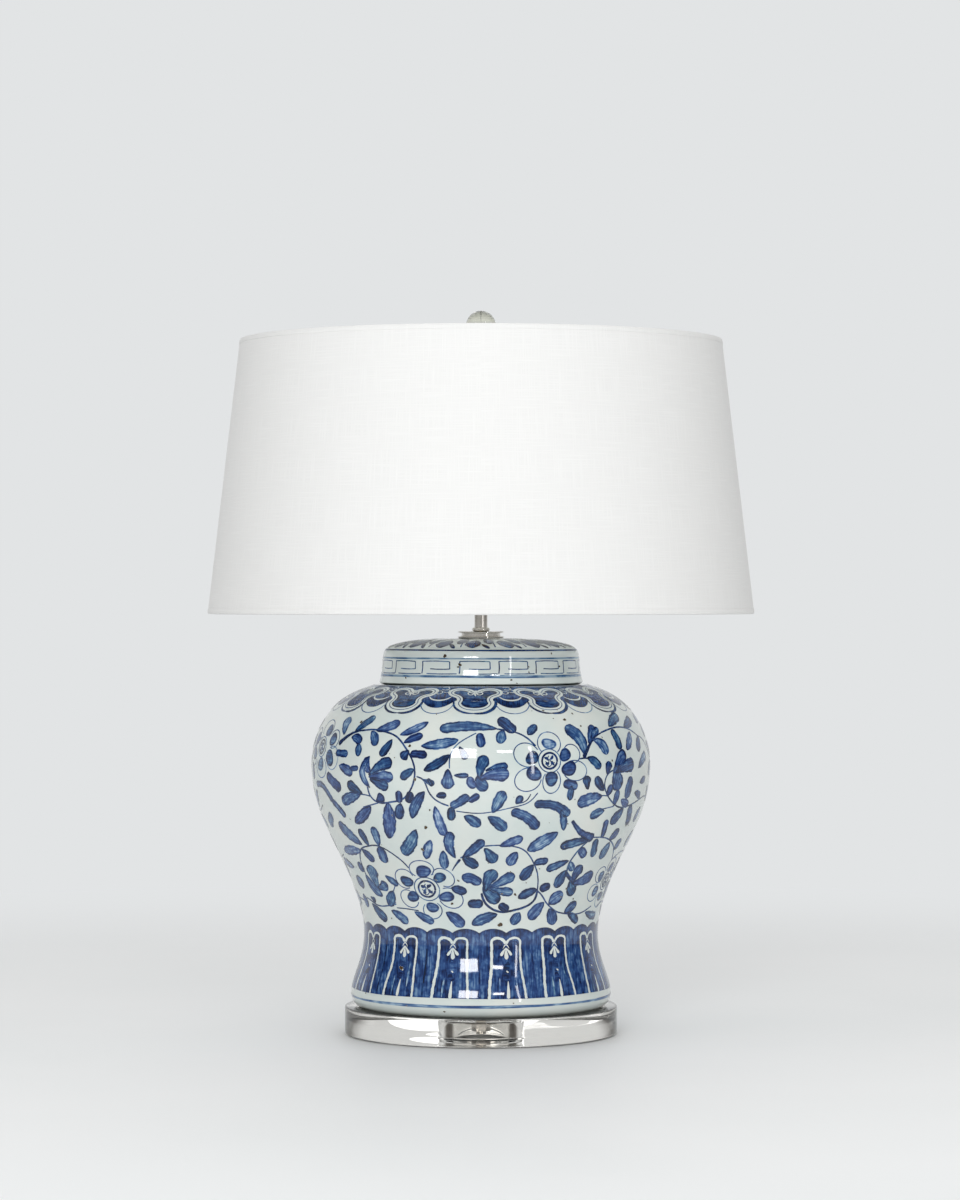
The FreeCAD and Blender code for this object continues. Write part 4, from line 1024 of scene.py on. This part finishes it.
# ------------------------------------------------------------ the lappet band
LAPPETS = 14
LAPPET_AT = -39.4
LAPPET_PITCH = 360.0 / LAPPETS
LAPPET_TOP_S = 357.4
LAPPET_FOOT_S = 417.0
FOOT_LINE_S = 424.0
PANEL_HALF = 8.0
FRAME_AT = 8.9
# degrees from a panel's middle and s: the two sides of its white arch
ARCH_LEFT = [(-8.3, 417.2), (-7.9, 402), (-7.1, 388), (-6.9, 376), (-6.9, 367.0),
             (-6.7, 363.4), (-5.6, 361.9), (-3.6, 361.6), (-1.7, 362.8), (-0.2, 366.8)]
ARCH_RIGHT = [(7.9, 417.2), (7.4, 402), (6.9, 388), (6.9, 376), (7.0, 367.0), (6.8, 363.4),
              (5.6, 361.9), (3.6, 361.5), (1.8, 362.6), (0.2, 366.8)]
ARCH_WAIST_S = 388
ARCH_CURL = [(5.9, 372), (5.4, 365.2), (3.4, 364.2), (1.9, 367.4), (2.8, 370.6)]
# the pendant's three leaves, its tick, its dot and the drop below: path, width, shape, rough
PENDANT = [
    ([(0, 371.0), (0.1, 381.0)], 3.6, "drop", 0.10),
    ([(-0.1, 370.4), (-2.6, 377.6)], 2.6, "drop", 0.10),
    ([(0.1, 370.4), (2.7, 377.2)], 2.6, "drop", 0.10),
    ([(-1.5, 371.4), (0, 367.4), (1.6, 371.2)], 1.0, "spin", 0.05),
    ([(-0.2, 391.4), (0.7, 393.0)], 1.5, "bar", 0.05),
    ([(0.3, 401.0), (0, 417.0)], 3.0, "drop", 0.05),
]


def lappet_top(theta):
    """Two shallow bumps over each panel."""
    u = ((theta - LAPPET_AT) / LAPPET_PITCH) % 1.0
    return LAPPET_TOP_S - 4.6 * abs(math.sin(2 * math.pi * u)) ** 0.62


def lappet_foot(theta):
    return LAPPET_FOOT_S + 0.3 * math.sin(math.radians(5 * theta))


def lappet_tone(theta, s):
    """Dark along the scallops and in the panels' heads, paler between the frames."""
    off = np.abs(((theta - LAPPET_AT) / LAPPET_PITCH + 0.5) % 1.0 - 0.5) * LAPPET_PITCH
    top = np.vectorize(lappet_top)(theta)
    cap = np.clip(1.4 - (s - top) / 3.2, 0, 1)
    seam = np.clip(1.3 - np.abs(off - LAPPET_PITCH / 2) / 0.6, 0, 1)
    framed = np.clip(1 - np.abs(off - FRAME_AT) / 0.7, 0, 1)
    panel = np.where(off < PANEL_HALF, 0.14, 0.0)
    head = np.where(off < PANEL_HALF, np.clip(1 - np.abs(s - 370) / 16, 0, 1) * 0.12, 0)
    return 0.56 + panel + head + 0.28 * cap + 0.34 * seam + 0.18 * framed


def widened(arch, wide):
    """An arch's side, pushed outward at its waist."""
    return [(theta + (wide if s == ARCH_WAIST_S else 0.0), s) for theta, s in arch]


def paint_arch(white, at, wide):
    """A panel's white arch and the pendant that hangs in it."""
    white_stroke(white, widened(ARCH_LEFT, -wide), at, 2.5, "line", 0.14)
    white_stroke(white, widened(ARCH_RIGHT, wide), at, 2.0, "line", 0.14)
    for path, width, shape, rough in PENDANT:
        brush(white, moved(path, at), width, shape, rough=rough)


def paint_panel(marks, at, wide):
    """Dark curls under the arch, two blobs, and streaks beside and between the frames."""
    for side in (-1, 1):
        curl = [(side * theta, s) for theta, s in ARCH_CURL]
        brush(marks, moved(curl, at), 2.0, "line", 0.86, 0.3, THIN)
        edge = [(at + side * 5.6, 370), (at + side * 5.8, 396)]
        brush(marks, edge, 1.5, "taper", 0.8, 0.3, THIN)
    blob(marks, at + 0.2 + wide, 388.6, 2.6, 6.4, 0.72, 0, 0.2, 0.2)
    blob(marks, at - 0.4, 397.6, 3.4, 3.0, 0.82, 20, 0.2, 0.2)
    brush(marks, [(at + 12.9 + wide, 372), (at + 12.8, 415)], 1.5, "line", 0.80, 0.0, THIN)
    brush(marks, [(at - 3.4 + wide, 398), (at - 3.8, 416)], 1.8, "spin", 0.22, 0.0, THIN)
    brush(marks, [(at + 4.0, 384), (at + 4.3, 408)], 1.8, "spin", 0.30, 0.0, THIN)


def paint_lappets(cobalt, glaze):
    ground = Brushwork("lappet_ground")
    white = Brushwork("lappet_white")
    marks = Brushwork("lappet_marks")
    foot = Brushwork("foot_line")
    band(ground, lappet_top, lappet_foot, lappet_tone, LAPPETS * 44, 16)
    for i in range(LAPPETS):
        at = LAPPET_AT + i * LAPPET_PITCH + rng.uniform(-0.3, 0.3)
        wide = rng.uniform(-0.25, 0.25)
        paint_arch(white, at, wide)
        paint_panel(marks, at, wide)
    hoop(foot, FOOT_LINE_S, 2.2, 0.30, 0.4)
    ground.done(cobalt)
    white.done(glaze)
    marks.done(cobalt)
    foot.done(cobalt)


# iron specks: theta, s, millimetres across
SPECKS = [(-21, 68, 2.2), (-12, 76, 1.9), (-13, 78, 1.3), (45, 66, 1.2), (17, 90, 1.3),
          (20, 93.5, 1.2), (28, 78, 1.0), (28, 83, 1.1), (51, 78, 1.4), (-47, 88.5, 1.3),
          (-48, 155, 2.0), (-24.3, 177, 1.8), (31.5, 151.5, 2.0), (24, 141, 1.4),
          (36, 145, 1.4), (37.5, 158.5, 1.3), (49, 192, 1.4), (-22, 207, 1.8),
          (-19.7, 252, 2.2), (-22.5, 274.5, 2.0), (-9.5, 306, 1.4), (-13, 329, 1.7),
          (9, 349, 2.8), (46, 327, 1.2), (15, 320, 1.7), (-32, 241, 1.0), (-17.5, 235, 1.2),
          (30, 140, 1.1), (27, 150, 0.9), (33, 226, 0.9), (12, 297, 0.9), (40, 316, 1.3),
          (38, 324, 1.2), (21, 301, 0.8), (-40, 391, 2.6), (-16, 429, 1.3), (-61, 418, 1.1),
          (-34, 425, 0.9), (14, 421, 0.9), (-53, 247, 0.9), (57, 243, 0.9)]


STRAY_SPECKS = 90


def paint_specks(speck):
    """Specks where the photograph has them, front and back, and small strays all round."""
    sheet = Brushwork("iron_specks")
    for turn in (0, 180):
        for theta, s, size in SPECKS:
            blob(sheet, theta + turn, s, size * 0.84, size * 0.70, 0.5, 30, 1.0, 0.2)
    for _ in range(STRAY_SPECKS):
        size = rng.uniform(0.5, 1.0)
        theta, s = rng.uniform(-180, 180), rng.uniform(100, 350)
        blob(sheet, theta, s, size, size * 0.8, 0.5, 30, 1.0, 0.2)
    sheet.done(speck)


# ------------------------------------------------------------ hard parts
def make_nickel():
    """Polished nickel: warm, with fine buffing lines and a few dull patches."""
    _, tree, shader = material("polished_nickel", Metallic=1.0)
    where = local(tree)
    colour = ramp(tree, noise(tree, where, 60.0, 3.0),
                  [(0.3, (0.64, 0.61, 0.57, 1)), (0.7, (0.72, 0.69, 0.65, 1))])
    lines = noise(tree, stretched(tree, where, (90, 90, 1600)), 1.0)
    feed(tree, shader, Base_Color=colour, Roughness=spread(tree, lines, 0.2, 0.8, 0.05, 0.09))
    bump(tree, shader, lines, 0.001 * MM, 0.10)


def make_mottled(name, low, high, rough, grain, finer, more, **values):
    """A surface clouded in colour, and more finely in roughness; returns its clouds too."""
    _, tree, shader = material(name, **values)
    where = local(tree)
    clouds = noise(tree, where, grain, 3.0)
    edge = 0.25 if "Metallic" in values else 0.3
    colour = ramp(tree, clouds, [(edge, low), (1 - edge, high)])
    fine = noise(tree, where, grain * finer)
    dull = spread(tree, fine, 0.2, 0.8, rough, rough + more)
    feed(tree, shader, Base_Color=colour, Roughness=dull)
    return tree, shader, clouds


def make_metal(name, low, high, rough, grain=400.0):
    """A plain metal with fine wire-drawn or stamped grain."""
    made = make_mottled(name, (*low, 1), (*high, 1), rough, grain, 3, 0.14, Metallic=1.0)
    bump(*made, 0.02 * MM, 0.4)


def make_plain(name, low, high, rough, grain=300.0, deep=0.03, **values):
    """Moulded plastic, fibre or glass with slight mottling and an orange-peel skin."""
    made = make_mottled(name, srgb(*low), srgb(*high), rough, grain, 2.2, 0.12, **values)
    bump(*made, deep * MM, 0.5)


def make_acrylic():
    """Clear cast acrylic with a faint warm grey, partly its own and partly painted shade for the
    darker room seen through it, and a few hair scratches on top.
    """
    mat, tree, shader = material("clear_acrylic", IOR=1.49, Transmission_Weight=1.0)
    where = local(tree)
    # painted shade: the grey tint is deepened to stand in for the darker surroundings that the slab
    # refracts
    grey_tint_and_painted_shade = ramp(tree, noise(tree, where, 8.0),
                [(0.3, (0.80, 0.78, 0.745, 1)), (0.7, (0.84, 0.825, 0.79, 1))])
    hairs = noise(tree, stretched(tree, where, (20, 900, 20), 0.7), 1.0)
    scratch = spread(tree, hairs, 0.70, 0.78, 0.0, 0.10)
    feed(tree, shader, Base_Color=grey_tint_and_painted_shade, Roughness=scratch)
    return mat


def make_crystal():
    _, tree, shader = material("crystal_ball", IOR=1.52, Transmission_Weight=1.0,
                               Roughness=0.0)
    # painted reflection: the clouded greenish grey tint stands in for the background seen through
    # the ball
    painted_refraction_tint = ramp(tree, noise(tree, local(tree), 70.0),
                 [(0.35, (0.80, 0.81, 0.74, 1)), (0.65, (0.86, 0.865, 0.80, 1))])
    feed(tree, shader, Base_Color=painted_refraction_tint)


LOOKS = {
    "polished_nickel": ["check_ring", "neck_bead", "neck_tube", "lamp_pipe", "bottom_nut",
                        "bottom_washer", "finial_base", "harp", "ferrule_left",
                        "ferrule_right", "harp_saddle", "harp_stud"],
    "zinc_steel": ["bottom_lock_washer", "cap_set_screw", "shade_top_ring",
                   "shade_bottom_ring", "shade_spider"],
    "stamped_brass": ["socket_cap", "socket_shell", "screw_shell", "centre_contact",
                      "terminal_screws", "switch_stem"],
    "bulb_cap": ["bulb_shell"],
    "solder_tin": ["bulb_contact"],
    "phenolic": ["socket_interior", "switch_knob"],
    "fibre_sleeve": ["insulating_sleeve"],
    "bumper": ["base_pads"],
    "bushing": ["cord_bushing"],
    "frosted_glass": ["bulb_glass"],
    "black_glass": ["bulb_insulator"],
    "styrene_film": ["shade_liner"],
    "crystal_ball": ["finial_ball"],
}


def dress_nodes():
    """Gives every carried-over node its material."""
    make_nickel()
    make_metal("zinc_steel", (0.48, 0.48, 0.47), (0.62, 0.62, 0.60), 0.24)
    make_metal("stamped_brass", (0.62, 0.45, 0.19), (0.78, 0.60, 0.30), 0.20)
    make_metal("bulb_cap", (0.62, 0.62, 0.62), (0.78, 0.78, 0.77), 0.22)
    make_metal("solder_tin", (0.50, 0.50, 0.50), (0.72, 0.72, 0.71), 0.32, 900)
    make_plain("phenolic", (30, 27, 25), (46, 42, 39), 0.30)
    make_plain("fibre_sleeve", (120, 112, 102), (158, 149, 136), 0.72, 700, 0.08)
    make_plain("bumper", (214, 214, 209), (232, 232, 227), 0.34, 200,
               Transmission_Weight=0.55, IOR=1.45)
    make_plain("bushing", (216, 215, 208), (235, 233, 226), 0.34)
    make_plain("frosted_glass", (238, 237, 231), (247, 246, 241), 0.38, 240, 0.02,
               Subsurface_Weight=0.3, Subsurface_Scale=0.01)
    make_plain("black_glass", (24, 22, 28), (40, 37, 44), 0.10)
    make_plain("styrene_film", (238, 238, 234), (246, 246, 242), 0.46, 160)
    make_crystal()
    for look, names in LOOKS.items():
        for name in names:
            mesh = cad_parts[name].data
            mesh.materials.clear()
            mesh.materials.append(bpy.data.materials[look])


def rounded(points, r, steps=4):
    """A closed outline with its corners rounded."""
    pts = [np.array(p, float) for p in points]
    out = []
    for i, p in enumerate(pts):
        a, b = pts[i - 1], pts[(i + 1) % len(pts)]
        cut = min(r, np.linalg.norm(a - p) / 2.2, np.linalg.norm(b - p) / 2.2)
        start = p + (a - p) / np.linalg.norm(a - p) * cut
        end = p + (b - p) / np.linalg.norm(b - p) * cut
        for k in range(steps + 1):
            u = k / steps
            out.append((1 - u) ** 2 * start + 2 * u * (1 - u) * p + u * u * end)
    return out


def edges_sharp(obj, degrees):
    """Creases kept crisp where faces meet at more than the given angle."""
    obj.data.set_sharp_from_angle(angle=math.radians(degrees))


WELL_R = 27 * MM
WELL_TOP = 13 * MM
BORE_R = 5.5 * MM
SLAB_EDGE_R = 1.6 * MM


def build_slab():
    """The clear round plinth, polished, with its bored well underneath."""
    z0, z1 = slab_low.z, slab_high.z
    profile = [(BORE_R, z1), (SLAB_R, z1), (SLAB_R, z0), (WELL_R, z0),
               (WELL_R, z0 + WELL_TOP), (BORE_R, z0 + WELL_TOP)]
    soft = rounded(profile, SLAB_EDGE_R)
    slab = lathe("clear_slab", soft, make_acrylic(), around=256, close=True)
    edges_sharp(slab, 32)
    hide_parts("acrylic_base")


WALL = 6.5 * MM
RECESS = 3 * MM
JAR_FLOOR = 10 * MM
FOOT_R = BELLY_R * JAR_SHARES[-1][0]
NECK_R = BELLY_R * JAR_SHARES[0][0]
RIM_Z = SEAT_Z - 0.3 * MM


def build_jar(glaze):
    """The jar: outside, foot ring and recess, inside, and the rim under the lid."""
    z0 = jar_low.z
    hole_r = BORE_R + 0.5 * MM
    under = [(FOOT_R - 1.5 * MM, z0), (FOOT_R - 7.5 * MM, z0), (FOOT_R - 9 * MM, z0 + 1.4 * MM),
             (FOOT_R - 9.6 * MM, z0 + RECESS), (hole_r, z0 + RECESS),
             (hole_r, z0 + JAR_FLOOR), (FOOT_R - 12 * MM, z0 + JAR_FLOOR)]
    inner = [(r - WALL, z) for r, z in jar_points[::3] if z > z0 + JAR_FLOOR + 2 * MM]
    profile = list(jar_points) + under + inner[::-1] + [(NECK_R - WALL, RIM_Z)]
    jar = lathe("jar_glaze", profile, glaze, "lamp", 240, True, jar_line)
    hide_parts("jar")


def build_lid(glaze):
    """The lid: dome and collar, its lip, and the hollow inside."""
    lip = [(LID_FOOT_R - 1.2 * MM, lid_low.z + 0.3 * MM), (LID_FOOT_R - 5 * MM, lid_low.z),
           (LID_FOOT_R - 8 * MM, lid_low.z + 0.8 * MM)]
    hollow = [(LID_R - 7 * MM, LID_TOP - 19 * MM), (LID_R - 12 * MM, LID_TOP - 14 * MM),
              (45 * MM, LID_TOP - 7.5 * MM), (BORE_R, LID_TOP - 6.8 * MM)]
    profile = list(lid_points) + lip + hollow
    lid = lathe("lid_glaze", profile, glaze, "lamp", 240, True, lid_line)
    edges_sharp(lid, 40)
    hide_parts("jar_lid")


# ------------------------------------------------------------ the shade
TRIM_T = 0.4 * MM
CLOTH_T = 0.5 * MM
LINER_T = 0.6 * MM
RIM_R = 1.5 * MM
TRIM_OUT = 4.5 * MM
TRIM_IN = 7.0 * MM
SHADE_DROP = 255.2 * MM
SHADE_TAPER = 30.0 * MM
CLOTH_LEAN = math.atan2(SHADE_TAPER, SHADE_DROP)
CLOTH_TALL = math.hypot(SHADE_TAPER, SHADE_DROP) - 2 * TRIM_T
CLOTH_ROWS = 28
SHADE_AROUND = 288
SEAM_FROM, SEAM_TO = 180.0, 182.6
SEAM_T = 0.25 * MM


def slant(u, n):
    """A point u up the wall from the lower rim and n outward from the cloth's face."""
    r = shade_high.x - u * math.sin(CLOTH_LEAN) + n * math.cos(CLOTH_LEAN)
    return (r, shade_low.z + u * math.cos(CLOTH_LEAN) + n * math.sin(CLOTH_LEAN))


def make_cloth():
    """Fine white hardback linen: a tight weave, slubs, and a matt sheen."""
    mat, tree, shader = material("white_linen", Sheen_Weight=0.12, Sheen_Roughness=0.5,
                                 IOR=1.45, Roughness=0.88)
    x, y, z = split(tree, local(tree))
    round_shade = times(tree, work_out(tree, "ARCTAN2", x, y), 0.24)
    wrapped = node(tree, "CombineXYZ", {0: round_shade, 1: z}).outputs[0]
    thread = {"Vector": wrapped, "Scale": 420.0, "Distortion": 0.6, "Detail": 1.0}
    warp = node(tree, "TexWave", thread, bands_direction="X").outputs["Fac"]
    weft = node(tree, "TexWave", thread, bands_direction="Y").outputs["Fac"]
    weave = work_out(tree, "MAXIMUM", warp, weft)
    tall = noise(tree, stretched(tree, wrapped, (900, 26, 1)), 1.0)
    wide = noise(tree, stretched(tree, wrapped, (26, 900, 1)), 1.0)
    slub = work_out(tree, "MAXIMUM", tall, wide)
    colour = ramp(tree, slub, [(0.40, srgb(227, 227, 226)), (0.80, srgb(234, 234, 233))])
    colour = blend(tree, times(tree, weave, 0.10), colour, srgb(216, 216, 213))
    feed(tree, shader, Base_Color=colour)
    bump(tree, shader, plus(tree, weave, times(tree, slub, 0.8)), 0.05 * MM, 0.35)
    return mat


def lap_seam(sheet):
    """The cloth's lapped join, up the back."""
    for v in sheet.data.vertices:
        a = math.degrees(math.atan2(v.co.x, -v.co.y)) % 360
        if SEAM_FROM < a < SEAM_TO:
            r = math.hypot(v.co.x, v.co.y)
            grow = (r + SEAM_T) / r
            v.co.x *= grow
            v.co.y *= grow
    sheet.data.update()


def build_roll(name, end, way, cloth):
    """Cloth rolled over a rim: end is how far up the wall, way points into the wall."""
    t = TRIM_T
    deep = -(CLOTH_T + LINER_T + 2 * RIM_R)
    # distances into the wall from the rim, and outward from the cloth's face
    path = [(TRIM_OUT, t), (1.2 * MM, t), (-t, t - 1.0 * MM), (-t, deep + 1.0 * MM),
            (1.0 * MM, deep - t), (TRIM_IN, deep - t), (TRIM_IN, deep), (1.2 * MM, deep),
            (0.0, deep + 0.9 * MM), (0.0, 0.0), (TRIM_OUT, 0.0)]
    soft = rounded([slant(end + way * u, n) for u, n in path], 0.6 * MM, 3)
    return lathe(name, soft, cloth, "shade", SHADE_AROUND, True)


def build_shade():
    """The drum's cloth, and its edges rolled over both rims."""
    cloth = make_cloth()
    steps = [CLOTH_TALL * i / CLOTH_ROWS for i in range(CLOTH_ROWS + 1)]
    outer = [slant(u, 0) for u in reversed(steps)]
    inner = [slant(u, -CLOTH_T * 0.9) for u in steps]
    sheet = lathe("shade_cloth", outer + inner, cloth, "shade", SHADE_AROUND, True)
    lap_seam(sheet)
    edges_sharp(sheet, 40)
    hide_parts("shade_fabric")
    top = build_roll("shade_top_roll", CLOTH_TALL, -1.0, cloth)
    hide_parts("shade_top_trim")
    bottom = build_roll("shade_bottom_roll", 0.0, 1.0, cloth)
    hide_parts("shade_bottom_trim")


# ------------------------------------------------------------ build
def main():
    glaze = make_glaze()
    cobalt = make_cobalt()
    build_jar(glaze)
    build_lid(glaze)
    paint_field(cobalt)
    paint_collar(cobalt, glaze)
    paint_lid(cobalt)
    paint_lappets(cobalt, glaze)
    paint_specks(make_speck())
    build_slab()
    build_shade()
    dress_nodes()


# ------------------------------------------------------------ stage
BACKDROP = srgb(226, 228, 229)
# what the gloss mirrors, from in front of the lamp (0) to behind it (1)
MIRRORED_ROOM = [(0.0, srgb(140, 138, 134)), (0.42, srgb(112, 109, 104)),
                 (0.66, srgb(66, 62, 57)), (0.80, srgb(92, 88, 82)), (0.93, BACKDROP)]
FLOOR_HALF = 60.0
SOFTBOX_DISTANCE = 3.0
SOFTBOX_AIM_Z = 0.25


def place_light(name, data, azimuth, height, glossy):
    """Turns a light to shine from azimuth degrees right of the camera, height up."""
    obj = bpy.data.objects.new(name, data)
    obj.rotation_euler = (math.pi / 2 - math.radians(height), 0, math.radians(azimuth))
    obj.visible_glossy = glossy
    bpy.context.scene.collection.objects.link(obj)
    return obj


def area_light(name, azimuth, height, wide, tall, power):
    """A softbox that looks at the jar."""
    data = bpy.data.lights.new(name, "AREA")
    data.shape = "RECTANGLE"
    data.size, data.size_y = wide, tall
    data.energy = power
    obj = place_light(name, data, azimuth, height, True)
    a, e = math.radians(azimuth), math.radians(height)
    flat = SOFTBOX_DISTANCE * math.cos(e)
    obj.location = (flat * math.sin(a), -flat * math.cos(a),
                    SOFTBOX_AIM_Z + SOFTBOX_DISTANCE * math.sin(e))


def sun_light(name, azimuth, height, strength, angle):
    """Broad even light, which the gloss doesn't mirror."""
    data = bpy.data.lights.new(name, "SUN")
    data.energy = strength
    data.angle = math.radians(angle)
    place_light(name, data, azimuth, height, False)


def make_world():
    """An even white room, a little brighter overhead, that the lens sees as pale grey."""
    world = bpy.data.worlds.new("studio")
    world.use_nodes = True
    bpy.context.scene.world = world
    tree = world.node_tree
    _, ahead, up = split(tree, node(tree, "TexCoord").outputs["Generated"])
    fill = tree.nodes["Background"]
    fill.inputs["Color"].default_value = (1, 1, 1, 1)
    feed(tree, fill, Strength=spread(tree, up, -0.2, 1.0, 0.36, 0.72))
    path = node(tree, "LightPath").outputs
    rays = work_out(tree, "MAXIMUM", path["Is Camera Ray"], path["Is Glossy Ray"])
    rays = work_out(tree, "MAXIMUM", rays, path["Is Transmission Ray"])
    room = ramp(tree, spread(tree, ahead, -1.0, 1.0), MIRRORED_ROOM)
    room = blend(tree, path["Is Glossy Ray"], BACKDROP, room)
    seen = node(tree, "Background", {"Color": room, "Strength": 1.0})
    mix = node(tree, "MixShader", {0: rays, 1: fill.outputs[0], 2: seen.outputs[0]})
    feed(tree, tree.nodes["World Output"], Surface=mix.outputs[0])


def floor_material():
    """Pale, and fading far off to the backdrop that the camera sees."""
    mat, tree, shader = material("pale_floor", Roughness=0.55)
    veil = ramp(tree, noise(tree, local(tree), 1.6, 4.0),
                [(0.35, srgb(241, 243, 243)), (0.65, srgb(245, 246, 246))])
    feed(tree, shader, Base_Color=veil)
    far = node(tree, "VectorMath", {0: local(tree)}, operation="LENGTH").outputs["Value"]
    far = times(tree, spread(tree, far, 0.6, 1.8),
                node(tree, "LightPath").outputs["Is Camera Ray"])
    glow = node(tree, "Emission", {"Color": BACKDROP, "Strength": 1.0})
    both = node(tree, "MixShader", {0: far, 1: shader.outputs[0], 2: glow.outputs[0]})
    feed(tree, tree.nodes["Material Output"], Surface=both.outputs[0])
    return mat


def make_floor():
    mesh = bpy.data.meshes.new("floor")
    corners = [(x * FLOOR_HALF, y * FLOOR_HALF, 0) for x, y in ((-1, -1), (1, -1), (1, 1), (-1, 1))]
    mesh.from_pydata(corners, [], [(0, 1, 2, 3)])
    mesh.materials.append(floor_material())
    floor = bpy.data.objects.new("floor", mesh)
    bpy.context.scene.collection.objects.link(floor)


def make_camera():
    scene = bpy.context.scene
    camera = bpy.data.objects.new("camera", bpy.data.cameras.new("camera"))
    camera.data.lens = LENS
    camera.data.sensor_fit = "VERTICAL"
    camera.data.sensor_height = SENSOR_H
    camera.data.clip_end = FLOOR_HALF
    camera.location = CAMERA_AT
    camera.rotation_euler = (math.pi / 2, 0, 0)
    scene.collection.objects.link(camera)
    scene.camera = camera


def make_stage():
    bpy.context.scene.view_settings.view_transform = "Standard"
    make_camera()
    make_world()
    make_floor()
    area_light("softbox", -11.5, 18.0, 0.84, 0.60, 24)
    area_light("small_box", 16.0, 20.0, 0.50, 0.14, 4.5)
    area_light("window", 34.0, 11.0, 0.10, 1.6, 5)
    sun_light("front_fill", -4.0, 5.0, 0.62, 60.0)
    sun_light("back_fill", 172.0, 30.0, 0.55, 50.0)


main()
make_stage()
